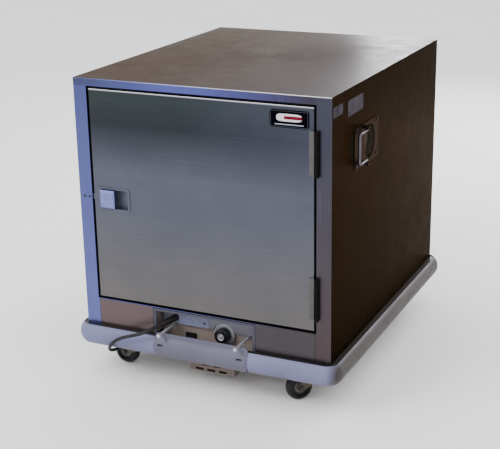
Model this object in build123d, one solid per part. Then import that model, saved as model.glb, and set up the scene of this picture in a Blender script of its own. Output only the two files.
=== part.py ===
from build123d import *
import math
import os

# Proofing cabinet, undercounter size. Millimetres, +Z up, front faces -Y, hinges on the +X side.
# The origin is on the floor, under the middle of the box that holds everything but the mains lead.

# ---- driving dimensions ---------------------------------------------------------------------
BODY_WIDTH = 648.0          # across the two sides
BODY_DEPTH = 780.0          # front face to back cover
BODY_HEIGHT = 618.0         # top of the bumper to the top
BUMPER_TOP = 132.0          # floor to the bumper's upper edge
BUMPER_REACH = 26.0         # how far the bumper stands out from the body
BUMPER_HEIGHT = 50.0
BUMPER_FLAT = 14.0          # body to where the bumper starts to round
CHASSIS_CORNER = 14.0       # in plan
ROD_REACH = 43.0            # how far the retaining rods stand out from the front face
ROD_NUT_LENGTH = 8.0
SHEET = 1.5                 # outer sheet
LINER_SHEET = 1.2           # inner sheet
STILE_WIDTH = 35.0          # each side of the door opening
TOP_RAIL_HEIGHT = 18.0      # above the door opening
SILL_ABOVE_BUMPER = 70.0    # bumper top to the door opening
DOOR_GAP = 5.5              # all round the door
DOOR_DEPTH = 38.0           # metal part of the door
DOOR_EDGE_RADIUS = 2.2      # folded edges of the door's face
JAMB_DEPTH = 46.0           # front face to the back of the gasket lip
LIP_WIDTH = 14.0            # gasket lip, inwards from the opening
WALL_THICKNESS = 44.0       # side, top and back walls, insulation included

# ---- places that follow from them -----------------------------------------------------------
HALF_WIDTH = BODY_WIDTH / 2
FRONT = (ROD_REACH - BUMPER_REACH - BODY_DEPTH) / 2
BACK = FRONT + BODY_DEPTH
TOP = BUMPER_TOP + BODY_HEIGHT
CHASSIS_TOP = BUMPER_TOP - 2
CHASSIS_BOTTOM = BUMPER_TOP - BUMPER_HEIGHT + 2
BUMPER_BOTTOM = BUMPER_TOP - BUMPER_HEIGHT
OPENING_X = HALF_WIDTH - STILE_WIDTH
OPENING_BOTTOM = BUMPER_TOP + SILL_ABOVE_BUMPER
OPENING_TOP = TOP - TOP_RAIL_HEIGHT
DOOR_X = OPENING_X - DOOR_GAP
DOOR_BOTTOM = OPENING_BOTTOM + DOOR_GAP
DOOR_TOP = OPENING_TOP - DOOR_GAP
CAVITY_X = OPENING_X - LIP_WIDTH
CAVITY_BOTTOM = OPENING_BOTTOM + LIP_WIDTH
CAVITY_TOP = OPENING_TOP - LIP_WIDTH
CAVITY_FRONT = FRONT + JAMB_DEPTH
CAVITY_BACK = BACK - WALL_THICKNESS

# ---- door furniture -------------------------------------------------------------------------
HINGE_X = OPENING_X + 3.0               # pin axis
HINGE_Y = FRONT - 6.2
HINGE_LENGTH = 102.0
HINGE_CENTRES = (BUMPER_TOP + 154.5, BUMPER_TOP + 491.5)
KNUCKLE_RADIUS = 5.2
PIN_RADIUS = 3.0
RUNNING_GAP = 0.05
BADGE_X, BADGE_Z = 226.0, BUMPER_TOP + 564.0
BADGE_SIZE = (92.0, 39.0)
LATCH_X0, LATCH_X1 = -266.0, -190.0     # pocket of the latch
LATCH_Z = BUMPER_TOP + 330.0            # its middle
LATCH_POCKET_HEIGHT = 47.0
LATCH_POCKET_DEPTH = 16.0
LATCH_PIVOT_X = LATCH_X0 + 4.0
LATCH_PIVOT_Y = FRONT + 1.0
PADDLE_FRONT, PADDLE_BACK = FRONT - 11.0, FRONT - 3.5
PADDLE_REACH = 39.0                     # pivot to the paddle's free edge
TONGUE_HEIGHT = 13.0
TONGUE_THICKNESS = 6.0
TONGUE_Y = FRONT + 9.0

# ---- control and heat module ----------------------------------------------------------------
MODULE_X = 135.0
MODULE_TOP = OPENING_BOTTOM - 3.5
MODULE_FACE_Y = FRONT + 46.0
MODULE_BACK_Y = FRONT + 400.0
MODULE_BOTTOM = CHASSIS_BOTTOM + 2
PANEL_FACE_Y = FRONT + 36.0             # raised upper plate
PANEL_BOTTOM = 150.5
PANEL_TOP = 190.0
DIAL_X, DIAL_Z, DIAL_RADIUS = 36.0, 143.0, 27.5
KNOB_RADIUS = 18.0
KNOB_LENGTH = 19.0
SWITCH_X, SWITCH_Z = -57.5, 121.0
SWITCH_PIVOT = 2.0                      # behind the module's face
SWITCH_TILT = 7.0
GLAND_X, GLAND_Z = -93.0, 168.0
LAMP_X, LAMP_Z, LAMP_RADIUS = -15.0, 163.0, 3.5
ROD_X, ROD_Z, ROD_RADIUS = 101.5, 145.5, 4.0
COVER_HALF_LENGTH = 123.0               # plate over the bumper
COVER_SLOT_X = 105.0
COVER_SLOT_SIZE = (15.0, 5.0)
COVER_SLOT_BOTTOM = 113.0
LOUVRE_X = 61.0
LOUVRE_Y0, LOUVRE_Y1 = FRONT + 38.0, FRONT + 158.0
LOUVRE_BOTTOM = 34.0
LOUVRE_ROWS = 3
LOUVRE_PITCH = (31.6, 13.0)             # along a row, and from row to row
LOUVRE_SLOT = (22.0, 5.6)
PAN_X = 88.0                            # water pan
PAN_Y0, PAN_Y1 = FRONT + 142.0, FRONT + 328.0
PAN_BOTTOM = 176.0
BLOWER_Y = FRONT + 235.0
HEATER_Z = 163.0
FAN_BLADES = 8

# ---- casters --------------------------------------------------------------------------------
CASTER_X = 237.0
CASTER_FRONT_Y = FRONT + 77.0
CASTER_REAR_Y = BACK - 77.0
WHEEL_RADIUS = 33.0
WHEEL_WIDTH = 24.0
PLATE_HOLE_X, PLATE_HOLE_Y = 24.0, 18.0    # bolts either side of a plate's middle
TRAIL = 24.0
HEADINGS = {"front_left": -4.0, "front_right": 48.0}    # degrees from +X that the swivel wheels point
AXLE_RADIUS = 4.0

# ---- side handles ---------------------------------------------------------------------------
HANDLE_Y = FRONT + 220.0
HANDLE_Z = BUMPER_TOP + 468.0
HANDLE_PLATE_DEPTH = 160.0
HANDLE_PLATE_HEIGHT = 98.0
DISH_Y = HANDLE_Y + 20.0
DISH_RADII = (35.0, 40.0)
DISH_DEPTH = 14.0
BAIL_RADIUS = 4.0
BAIL_PIVOT_Y = HANDLE_Y - 22.0
BAIL_REACH = 50.0
BAIL_HALF_HEIGHT = 35.5
BAIL_STAND_OFF = 10.0                   # rod axis from the side of the body

# ---- pan rack -------------------------------------------------------------------------------
UPRIGHT_DEPTH = 43.5
UPRIGHT_WIDTH = 25.0
SLIDE_LEVELS = 6
SLIDE_PITCH = 76.0
SLIDE_FIRST = CAVITY_BOTTOM + 46.0
SLIDE_LEDGE = 37.0
SLIDE_LEG = 25.0

# ---- mains lead: its route from the strain relief to the coil, points chosen by hand ---------
CORD_RADIUS = 4.25
RELIEF_START = (GLAND_X, FRONT + 32.0, GLAND_Z)
RELIEF_REACH = (-20.0, -36.0, -8.0)     # from there to the sleeve's tip
CORD_CORNERS = [
    (-149.0, FRONT - 43.5, 144.5),
    (-180.0, FRONT - 44.5, 134.0),
    (-212.0, FRONT - 44.5, 122.0),
    (-238.0, FRONT - 44.0, 99.0),
    (-249.0, FRONT - 26.5, 75.5),
    (-240.0, FRONT + 5.5, 71.0),
    (-213.0, FRONT + 25.5, 72.0),
    (-178.0, FRONT + 38.5, 70.5),
    (-149.0, FRONT + 66.5, 55.0),
    (-134.0, FRONT + 105.5, 33.0),
    (-122.0, FRONT + 139.5, 14.0),
    (-118.0, FRONT + 168.5, 4.6),
    (-118.0, FRONT + 194.5, 4.6),
]
COIL_CENTRE = (-68.0, FRONT + 232.0)
COIL_RADIUS = 50.0                      # middle of the turns
COIL_COLUMNS = 2
COIL_LAYERS = 3
PLUG_START_X = -22.0                    # where the lead enters the plug, past the coil


def box(x0, x1, y0, y1, z0, z1):
    """A box between two corners."""
    size = Box(x1 - x0, y1 - y0, z1 - z0)
    return Pos((x0 + x1) / 2, (y0 + y1) / 2, (z0 + z1) / 2) * size


def rod_x(x0, x1, y, z, radius):
    """A cylinder along X."""
    return Pos((x0 + x1) / 2, y, z) * Rot(0, 90, 0) * Cylinder(radius, abs(x1 - x0))


def rod_y(x, y0, y1, z, radius):
    """A cylinder along Y."""
    return Pos(x, (y0 + y1) / 2, z) * Rot(90, 0, 0) * Cylinder(radius, abs(y1 - y0))


def rod_z(x, y, z0, z1, radius):
    """A cylinder along Z."""
    return Pos(x, y, (z0 + z1) / 2) * Cylinder(radius, abs(z1 - z0))


def plate_xz(x0, x1, y0, y1, z0, z1, corner):
    """A plate facing Y with rounded corners, from y0 to y1."""
    outline = RectangleRounded(x1 - x0, z1 - z0, corner)
    plane = Plane(((x0 + x1) / 2, y1, (z0 + z1) / 2), x_dir=(1, 0, 0), z_dir=(0, -1, 0))
    return extrude(plane * outline, amount=y1 - y0)


def tube_along(points, radii, radius):
    """A round rod along straight runs and tangent arcs."""
    path = FilletPolyline(*points, radius=radii)
    start = Plane(path @ 0, z_dir=path % 0)
    return sweep(start * Circle(radius), path=path)


def both_sides(shape):
    """A shape and its mirror image across the middle of the cabinet."""
    return [shape, mirror(shape, about=Plane.YZ)]


# ---- body -----------------------------------------------------------------------------------

def outer_shell():
    """Top and both sides, one sheet bent over the body, behind the face frame."""
    outside = box(-HALF_WIDTH, HALF_WIDTH, FRONT + SHEET, BACK, CHASSIS_TOP, TOP)
    inside = box(-HALF_WIDTH + SHEET, HALF_WIDTH - SHEET, FRONT, BACK + 1, CHASSIS_TOP - 1, TOP - SHEET)
    shell = outside - inside
    for side in (-1, 1):
        shell -= dish_hole(side)
    return shell


def dish_hole(side):
    """The square-cornered hole in a side sheet that a handle's dish drops into."""
    room = 2.5
    return Pos(side * HALF_WIDTH, DISH_Y, HANDLE_Z) * Box(
        4 * SHEET, 2 * (DISH_RADII[0] + room), 2 * (DISH_RADII[1] + room))


def rear_panel():
    """Back cover, set in between the two sides."""
    x = HALF_WIDTH - SHEET
    return box(-x, x, BACK - SHEET, BACK, CHASSIS_TOP, TOP - SHEET)


def face_frame():
    """Stiles, top rail, sill edge, jamb returns and the lip that the gasket meets."""
    base_opening_x = OPENING_X - 3
    front = box(-HALF_WIDTH, HALF_WIDTH, FRONT, FRONT + SHEET, CHASSIS_TOP, TOP)
    rim = front.faces().sort_by(Axis.Y)[0].edges()
    front = fillet([edge for edge in rim if edge.center().Z > CHASSIS_TOP + 1], 1.2)
    front -= box(-OPENING_X, OPENING_X, FRONT - 1, FRONT + 2 * SHEET, OPENING_BOTTOM, OPENING_TOP)
    front -= box(-base_opening_x, base_opening_x, FRONT - 1, FRONT + 2 * SHEET,
                 CHASSIS_TOP - 1, OPENING_BOTTOM - SHEET)
    jamb = box(-OPENING_X - SHEET, OPENING_X + SHEET, FRONT + SHEET, CAVITY_FRONT,
               OPENING_BOTTOM - SHEET, OPENING_TOP + SHEET)
    jamb -= box(-OPENING_X, OPENING_X, FRONT, CAVITY_FRONT - SHEET, OPENING_BOTTOM, OPENING_TOP)
    jamb -= box(-CAVITY_X, CAVITY_X, FRONT, CAVITY_FRONT + 1, CAVITY_BOTTOM, CAVITY_TOP)
    frame = front + jamb
    return frame.solid()


def inner_liner():
    """Sides, top, back and floor of the cavity, open at the front."""
    t = LINER_SHEET
    outside = box(-CAVITY_X - t, CAVITY_X + t, CAVITY_FRONT, CAVITY_BACK + t,
                  CAVITY_BOTTOM - t, CAVITY_TOP + t)
    inside = box(-CAVITY_X, CAVITY_X, CAVITY_FRONT - 1, CAVITY_BACK, CAVITY_BOTTOM, CAVITY_TOP)
    liner = outside - inside
    liner -= box(-PAN_X - 1, PAN_X + 1, PAN_Y0 - 1, PAN_Y1 + 1, CAVITY_BOTTOM - 5, CAVITY_BOTTOM + 5)
    for column in range(-3, 4):
        x = column * 26.0
        liner -= box(x - 4, x + 4, PAN_Y1 + 18, PAN_Y1 + 60, CAVITY_BOTTOM - 5, CAVITY_BOTTOM + 5)
    return liner


def wall_insulation():
    """Slabs between the shell and the liner: two sides, top and back."""
    gap = 0.8
    liner_x = CAVITY_X + LINER_SHEET + gap
    shell_x = HALF_WIDTH - SHEET - gap
    y0 = CAVITY_FRONT + gap
    y1 = BACK - SHEET - gap
    side = box(liner_x, shell_x, y0, y1, CAVITY_BOTTOM, CAVITY_TOP)
    pocket = Pos(HALF_WIDTH, DISH_Y, HANDLE_Z) * Box(
        2 * (DISH_DEPTH + 3), 2 * DISH_RADII[0] + 8, 2 * DISH_RADII[1] + 8)
    sides = both_sides(side - pocket)
    top = box(-shell_x, shell_x, y0, y1, CAVITY_TOP + LINER_SHEET + gap, TOP - SHEET - gap)
    rear = box(-CAVITY_X, CAVITY_X, CAVITY_BACK + LINER_SHEET + gap, y1, CAVITY_BOTTOM, CAVITY_TOP)
    return Compound(sides + [top, rear])


def rounded_block(offset, z0, z1):
    """The body's plan outline, grown by an offset, with the chassis's rounded corners."""
    outline = RectangleRounded(BODY_WIDTH + 2 * offset, BODY_DEPTH + 2 * offset, CHASSIS_CORNER + offset)
    return Pos(0, (FRONT + BACK) / 2, z0) * extrude(outline, amount=z1 - z0)


def chassis_base():
    """Shallow floor pan that carries the body, the bumper and the casters."""
    wall = 2.0
    pan = rounded_block(0, CHASSIS_BOTTOM, CHASSIS_TOP) - rounded_block(-wall, CHASSIS_BOTTOM + wall, TOP)
    pan -= box(-MODULE_X - 2, MODULE_X + 2, LOUVRE_Y0 - 3, MODULE_BACK_Y + 3,
               CHASSIS_BOTTOM - 1, CHASSIS_BOTTOM + wall + 1)
    for y in (CASTER_FRONT_Y, CASTER_REAR_Y):
        channel = box(-HALF_WIDTH + 20, -MODULE_X - 12, y - 40, y + 40,
                      CHASSIS_BOTTOM + wall, CHASSIS_BOTTOM + wall + 3)
        pan = pan + both_sides(channel)
    for place in caster_bolt_places():
        pan -= rod_z(place[0], place[1], CHASSIS_BOTTOM - 1, CHASSIS_BOTTOM + 8, AXLE_RADIUS)
    return pan.solid()


def base_panels():
    """The two panels below the door, beside the module."""
    panel = box(MODULE_X + 1, OPENING_X - 3.8, FRONT, FRONT + SHEET, CHASSIS_TOP, OPENING_BOTTOM - 2)
    flange = box(MODULE_X + 1, OPENING_X - 3.8, FRONT, FRONT + 12, OPENING_BOTTOM - 3.5,
                 OPENING_BOTTOM - 2)
    return Compound(both_sides(panel + flange))


# ---- bumper ---------------------------------------------------------------------------------

def bumper_rail():
    """Channel bolted round the chassis, open outwards."""
    web = 2.0
    rail = rounded_block(BUMPER_FLAT, CHASSIS_BOTTOM, CHASSIS_TOP)
    rail -= rounded_block(0, CHASSIS_BOTTOM - 1, TOP)
    groove = rounded_block(BUMPER_FLAT + 5, CHASSIS_BOTTOM + web, CHASSIS_TOP - web)
    groove -= rounded_block(web, CHASSIS_BOTTOM, CHASSIS_TOP)
    return rail - groove


def bumper_arc():
    """Centre and radius of the bumper's rounded face: (distance behind the front, height, radius)."""
    chord = BUMPER_HEIGHT / 2
    rise = BUMPER_REACH - BUMPER_FLAT
    radius = (chord ** 2 + rise ** 2) / (2 * rise)
    return FRONT - BUMPER_REACH + radius, BUMPER_TOP - chord, radius


def bumper_strip():
    """Solid rounded strip that closes the channel, with the slots behind the cover plate."""
    flat = BUMPER_FLAT
    middle = BUMPER_TOP - BUMPER_HEIGHT / 2
    with BuildSketch(Plane.YZ) as section:
        with BuildLine():
            ThreePointArc((FRONT - flat, BUMPER_TOP), (FRONT - BUMPER_REACH, middle),
                          (FRONT - flat, BUMPER_BOTTOM))
            Line((FRONT - flat, BUMPER_BOTTOM), (FRONT - flat, BUMPER_TOP))
        make_face()
    half_x = HALF_WIDTH - CHASSIS_CORNER
    half_y = BODY_DEPTH / 2 - CHASSIS_CORNER
    middle_y = (FRONT + BACK) / 2
    pieces = []
    front_run = extrude(section.sketch, amount=half_x, both=True)
    side_shift = Pos(0, BODY_DEPTH / 2 - HALF_WIDTH - middle_y, 0)
    side_run = Pos(0, middle_y, 0) * Rot(0, 0, 90) * side_shift * extrude(
        section.sketch, amount=half_y, both=True)
    corner_turn = Pos(half_x, FRONT + CHASSIS_CORNER, 0) * revolve(
        Pos(0, -FRONT - CHASSIS_CORNER, 0) * section.sketch, axis=Axis.Z, revolution_arc=90)
    for turn in (0, 180):
        spin = Pos(0, middle_y, 0) * Rot(0, 0, turn) * Pos(0, -middle_y, 0)
        pieces.append(spin * front_run)
        pieces.append(spin * side_run)
        pieces.append(spin * corner_turn)
        pieces.append(spin * mirror(corner_turn, about=Plane.YZ))
    strip = pieces[0]
    for piece in pieces[1:]:
        strip = strip + piece
    for side in (-1, 1):
        strip -= cover_slot(side)
    return strip.solid()


def cover_slot(side):
    """A slotted hole through the front of the bumper."""
    middle = side * COVER_SLOT_X
    width, height = COVER_SLOT_SIZE
    return plate_xz(middle - width / 2, middle + width / 2, FRONT - BUMPER_REACH - 4, FRONT - BUMPER_FLAT,
                    COVER_SLOT_BOTTOM, COVER_SLOT_BOTTOM + height, 2.3)


def bumper_cover_plate():
    """Formed plate over the front of the bumper, its top lip notched for the two rods."""
    centre_y, centre_z, radius = bumper_arc()
    inner = radius + 0.2
    thickness = 2.0
    outer = inner + thickness
    half_length = COVER_HALF_LENGTH
    lip_top = BUMPER_TOP + 12.0
    lip_back = FRONT - BUMPER_FLAT
    drum = rod_x(-half_length, half_length, centre_y, centre_z, outer)
    drum -= rod_x(-half_length - 1, half_length + 1, centre_y, centre_z, inner)
    plate = drum & box(-half_length, half_length, FRONT - 60, lip_back, BUMPER_BOTTOM, BUMPER_TOP + 2)
    plate = plate + box(-half_length, half_length, lip_back - thickness, lip_back, BUMPER_TOP, lip_top)
    corner = 10.0
    for side in (-1, 1):
        x = side * (half_length - corner)
        edge = box(min(x, side * half_length), max(x, side * half_length), FRONT - 20, FRONT - 10,
                   lip_top - corner, lip_top)
        plate -= edge - rod_y(x, FRONT - 20, FRONT - 10, lip_top - corner, corner)
        plate -= rod_y(side * ROD_X, FRONT - 20, FRONT - 10, ROD_Z, ROD_RADIUS + 0.5)
        plate -= cover_slot(side)
    return plate.solid()


def retaining_rods():
    """Two rods from the module's face over the cover plate, each with a domed nut."""
    y_end = FRONT - ROD_REACH
    dome = 5.5
    rod = rod_y(ROD_X, y_end + dome, MODULE_FACE_Y, ROD_Z, ROD_RADIUS)
    nut = Pos(ROD_X, y_end + dome, ROD_Z) * Sphere(dome)
    nut &= box(ROD_X - dome, ROD_X + dome, y_end, y_end + ROD_NUT_LENGTH, ROD_Z - dome, ROD_Z + dome)
    return Compound(both_sides((rod + nut).solid()))


# ---- rack inside ----------------------------------------------------------------------------

def slide_uprights():
    """Four channels fixed to the liner's sides."""
    x0 = CAVITY_X - UPRIGHT_DEPTH
    z0 = CAVITY_BOTTOM + 0.5
    z1 = CAVITY_TOP - 12
    uprights = []
    for y in (CAVITY_FRONT + 70, CAVITY_BACK - 70):
        channel = box(x0, CAVITY_X, y, y + UPRIGHT_WIDTH, z0, z1)
        channel -= box(x0 + SHEET, CAVITY_X + 1, y + SHEET, y + UPRIGHT_WIDTH - SHEET, z0 - 1, z1 + 1)
        uprights += both_sides(channel)
    return Compound(uprights)


def pan_slides():
    """Six pairs of angle runners; each leg hangs below its ledge."""
    wall_x = CAVITY_X - UPRIGHT_DEPTH
    y0 = CAVITY_FRONT + 25
    y1 = CAVITY_BACK - 25
    slides = []
    for level in range(SLIDE_LEVELS):
        z = SLIDE_FIRST + level * SLIDE_PITCH
        ledge = box(wall_x - SLIDE_LEDGE, wall_x, y0, y1, z - SHEET, z)
        leg = box(wall_x - SHEET, wall_x, y0, y1, z - SLIDE_LEG, z)
        slides += both_sides((ledge + leg).solid())
    return Compound(slides)


# ---- door -----------------------------------------------------------------------------------

def latch_cut(depth):
    """The block that the latch pocket takes out of the door."""
    z = LATCH_POCKET_HEIGHT / 2 + 1.5
    return box(LATCH_X0 - 1.5, LATCH_X1 + 1.5, FRONT - 1, FRONT + depth, LATCH_Z - z, LATCH_Z + z)


def tongue_cut(x0, x1):
    """The slot that the latch tongue slides through."""
    y = TONGUE_THICKNESS / 2 + 0.6
    z = TONGUE_HEIGHT / 2 + 0.6
    return box(x0, x1, TONGUE_Y - y, TONGUE_Y + y, LATCH_Z - z, LATCH_Z + z)


def door_skin():
    """Outer pan of the door, open at the back."""
    skin = box(-DOOR_X, DOOR_X, FRONT, FRONT + DOOR_DEPTH, DOOR_BOTTOM, DOOR_TOP)
    skin = fillet(skin.faces().sort_by(Axis.Y)[0].edges(), DOOR_EDGE_RADIUS)
    skin -= box(-DOOR_X + LINER_SHEET, DOOR_X - LINER_SHEET, FRONT + LINER_SHEET,
                FRONT + DOOR_DEPTH + 1, DOOR_BOTTOM + LINER_SHEET, DOOR_TOP - LINER_SHEET)
    skin -= latch_cut(5)
    skin -= tongue_cut(-DOOR_X - 2, -DOOR_X + 5)
    return skin


def door_inner_panel():
    """Closes the back of the door."""
    x = DOOR_X - LINER_SHEET
    return box(-x, x, FRONT + DOOR_DEPTH - LINER_SHEET, FRONT + DOOR_DEPTH,
               DOOR_BOTTOM + LINER_SHEET, DOOR_TOP - LINER_SHEET)


def door_insulation():
    """Slab inside the door, cut away round the latch."""
    gap = 0.8
    x = DOOR_X - LINER_SHEET - gap
    slab = box(-x, x, FRONT + LINER_SHEET + gap, FRONT + DOOR_DEPTH - LINER_SHEET - gap,
               DOOR_BOTTOM + LINER_SHEET + gap, DOOR_TOP - LINER_SHEET - gap)
    room = LATCH_POCKET_HEIGHT / 2 + 4
    slab -= box(-DOOR_X, LATCH_X1 + 4, FRONT, FRONT + LATCH_POCKET_DEPTH + 4,
                LATCH_Z - room, LATCH_Z + room)
    return slab.solid()


def door_gasket():
    """Soft frame on the back of the door; it stops just short of the lip."""
    y0 = FRONT + DOOR_DEPTH
    y1 = CAVITY_FRONT - SHEET - 0.4
    inner_x = CAVITY_X - 4.5
    outer_x = DOOR_X - 1.5
    inner_z = CAVITY_BOTTOM + 4.5
    outer_z = DOOR_BOTTOM + 1.5
    seal = box(-outer_x, outer_x, y0, y1, outer_z, OPENING_BOTTOM + OPENING_TOP - outer_z)
    return seal - box(-inner_x, inner_x, y0 - 1, y1 + 1, inner_z,
                      OPENING_BOTTOM + OPENING_TOP - inner_z)


def badge():
    """Plain badge near the door's top right corner."""
    x = BADGE_SIZE[0] / 2
    z = BADGE_SIZE[1] / 2
    return plate_xz(BADGE_X - x, BADGE_X + x, FRONT - 2, FRONT, BADGE_Z - z, BADGE_Z + z, 6)


def latch_body():
    """Pocket with a flange; the lever turns in its top and bottom walls."""
    wall = 1.5
    flange = 5.0
    half = LATCH_POCKET_HEIGHT / 2
    body = plate_xz(LATCH_X0 - flange, LATCH_X1 + flange, FRONT - wall, FRONT,
                    LATCH_Z - half - flange, LATCH_Z + half + flange, 4)
    body = body + box(LATCH_X0 - wall, LATCH_X1 + wall, FRONT - wall, FRONT + LATCH_POCKET_DEPTH,
                      LATCH_Z - half - wall, LATCH_Z + half + wall)
    body -= box(LATCH_X0, LATCH_X1, FRONT - wall - 1, FRONT + LATCH_POCKET_DEPTH - wall,
                LATCH_Z - half, LATCH_Z + half)
    body -= rod_z(LATCH_PIVOT_X, LATCH_PIVOT_Y, LATCH_Z - half - 10, LATCH_Z + half + 10, 2.0 + RUNNING_GAP)
    body -= tongue_cut(LATCH_X0 - 5, LATCH_X0 + 1)
    return body.solid()


def latch_lever():
    """Thick bevelled paddle with its barrel and trunnions; it swings out from its right edge."""
    half = LATCH_POCKET_HEIGHT / 2
    tip_x = LATCH_PIVOT_X + PADDLE_REACH
    paddle = box(LATCH_PIVOT_X - 1, tip_x, PADDLE_FRONT, PADDLE_BACK, LATCH_Z - half + 1, LATCH_Z + half - 1)
    paddle = chamfer(paddle.faces().sort_by(Axis.Y)[0].edges(), 3.0)
    grip = box(tip_x - 4, tip_x - 2, PADDLE_BACK - 0.5, FRONT + 3, LATCH_Z - half + 6, LATCH_Z + half - 6)
    web = box(LATCH_PIVOT_X - 1, LATCH_PIVOT_X + 3, PADDLE_BACK - 0.5, LATCH_PIVOT_Y,
              LATCH_Z - half + 3, LATCH_Z + half - 3)
    barrel = rod_z(LATCH_PIVOT_X, LATCH_PIVOT_Y, LATCH_Z - half + 0.5, LATCH_Z + half - 0.5, 2.9)
    trunnion = rod_z(LATCH_PIVOT_X, LATCH_PIVOT_Y, LATCH_Z - half - 1.2, LATCH_Z + half + 1.2, 2.0)
    return (paddle + grip + web + barrel + trunnion).solid()


def latch_tongue():
    """Flat bolt that crosses the gap at the door's edge, its nose bevelled at the back."""
    x0 = -OPENING_X + 1.0
    x1 = LATCH_X0 - 3.0
    bolt = box(x0, x1, TONGUE_Y - TONGUE_THICKNESS / 2, TONGUE_Y + TONGUE_THICKNESS / 2,
               LATCH_Z - TONGUE_HEIGHT / 2, LATCH_Z + TONGUE_HEIGHT / 2)
    nose = Pos(x0, TONGUE_Y + TONGUE_THICKNESS / 2, LATCH_Z) * Rot(0, 0, 45) * Box(3, 3, TONGUE_HEIGHT + 2)
    return (bolt - nose).solid()


def latch_strike():
    """Keeper behind the left stile, facing the tongue."""
    x0 = -OPENING_X - SHEET
    plate = box(x0 - 26, x0, FRONT + SHEET, FRONT + SHEET + 2, LATCH_Z - 11, LATCH_Z + 11)
    keeper = box(x0 - 2, x0, FRONT + SHEET, FRONT + 18, LATCH_Z - 11, LATCH_Z + 11)
    return (plate + keeper).solid()


def hinge_frame_leaves():
    """Leaves on the right jamb, each with the lower knuckle of its hinge."""
    leaves = []
    for middle in HINGE_CENTRES:
        z0 = middle - HINGE_LENGTH / 2
        z1 = middle + HINGE_LENGTH / 2
        leaf = box(OPENING_X - 1.8, OPENING_X, FRONT - 1.5, FRONT + 30, z0, z1)
        bridge = box(OPENING_X - 1.8, HINGE_X, FRONT - 3.4, FRONT - 0.8, z0, middle - 0.25)
        knuckle = rod_z(HINGE_X, HINGE_Y, z0, middle - 0.25, KNUCKLE_RADIUS)
        solid = leaf + bridge + knuckle
        solid -= box(OPENING_X - 2, HINGE_X + 6, HINGE_Y - 6, FRONT, middle - 0.25, z1 + 1)
        solid -= rod_z(HINGE_X, HINGE_Y, z0 - 1, middle, PIN_RADIUS)
        leaves.append(solid.solid())
    return Compound(leaves)


def hinge_pins():
    """Pins fixed in the frame knuckles; the door knuckles turn on them."""
    pins = []
    for middle in HINGE_CENTRES:
        z0 = middle - HINGE_LENGTH / 2
        z1 = middle + HINGE_LENGTH / 2
        pins.append(rod_z(HINGE_X, HINGE_Y, z0, z1 - 2, PIN_RADIUS))
    return Compound(pins)


def hinge_door_leaves():
    """Leaves on the door's face, each with the upper knuckle of its hinge."""
    leaves = []
    for middle in HINGE_CENTRES:
        z0 = middle - HINGE_LENGTH / 2
        z1 = middle + HINGE_LENGTH / 2
        zk = middle + 0.25
        leaf = box(DOOR_X - 11, DOOR_X, FRONT - 2, FRONT, z0, z1)
        bridge = box(DOOR_X - 1, HINGE_X, FRONT - 3.4, FRONT - 0.6, zk, z1)
        knuckle = rod_z(HINGE_X, HINGE_Y, zk, z1, KNUCKLE_RADIUS)
        bore = rod_z(HINGE_X, HINGE_Y, zk - 1, z1 - 1.5, PIN_RADIUS + RUNNING_GAP)
        leaves.append((leaf + bridge + knuckle - bore).solid())
    return Compound(leaves)


# ---- control and heat module ----------------------------------------------------------------

def module_housing():
    """Sheet box under the cavity with a recessed face, cheeks, flanges and a top lip."""
    t = LINER_SHEET
    ceiling_z = CAVITY_BOTTOM - LINER_SHEET
    face = box(-MODULE_X, MODULE_X, MODULE_FACE_Y, MODULE_FACE_Y + t, MODULE_BOTTOM, ceiling_z)
    floor = box(-MODULE_X, MODULE_X, MODULE_FACE_Y, MODULE_BACK_Y, MODULE_BOTTOM, MODULE_BOTTOM + t)
    floor -= box(-50, 50, MODULE_FACE_Y + 14, LOUVRE_Y1 - 14, MODULE_BOTTOM - 1, MODULE_BOTTOM + 2)
    rear = box(-MODULE_X, MODULE_X, MODULE_BACK_Y - t, MODULE_BACK_Y, MODULE_BOTTOM, ceiling_z)
    side = box(MODULE_X - t, MODULE_X, MODULE_FACE_Y, MODULE_BACK_Y, MODULE_BOTTOM, ceiling_z)
    cheek = box(MODULE_X - t, MODULE_X, FRONT, MODULE_FACE_Y, CHASSIS_TOP, MODULE_TOP)
    flange = box(MODULE_X - 7, MODULE_X, FRONT, FRONT + t, CHASSIS_TOP, MODULE_TOP)
    lip = box(-MODULE_X, MODULE_X, FRONT, FRONT + t, MODULE_TOP - 6, MODULE_TOP)
    hood = box(-MODULE_X, MODULE_X, FRONT, MODULE_FACE_Y, MODULE_TOP - t, MODULE_TOP)
    housing = face + floor + rear + lip + hood
    housing = housing + both_sides(side + cheek + flange)
    housing -= rod_y(DIAL_X, FRONT, MODULE_FACE_Y + 5, DIAL_Z, 3.2)
    housing -= rod_y(GLAND_X, PANEL_FACE_Y, MODULE_FACE_Y + 5, GLAND_Z, 9.0)
    housing -= box(SWITCH_X - 13, SWITCH_X + 13, MODULE_FACE_Y - 1, MODULE_FACE_Y + 5,
                   SWITCH_Z - 5.6, SWITCH_Z + 5.6)
    return housing.solid()


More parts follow.
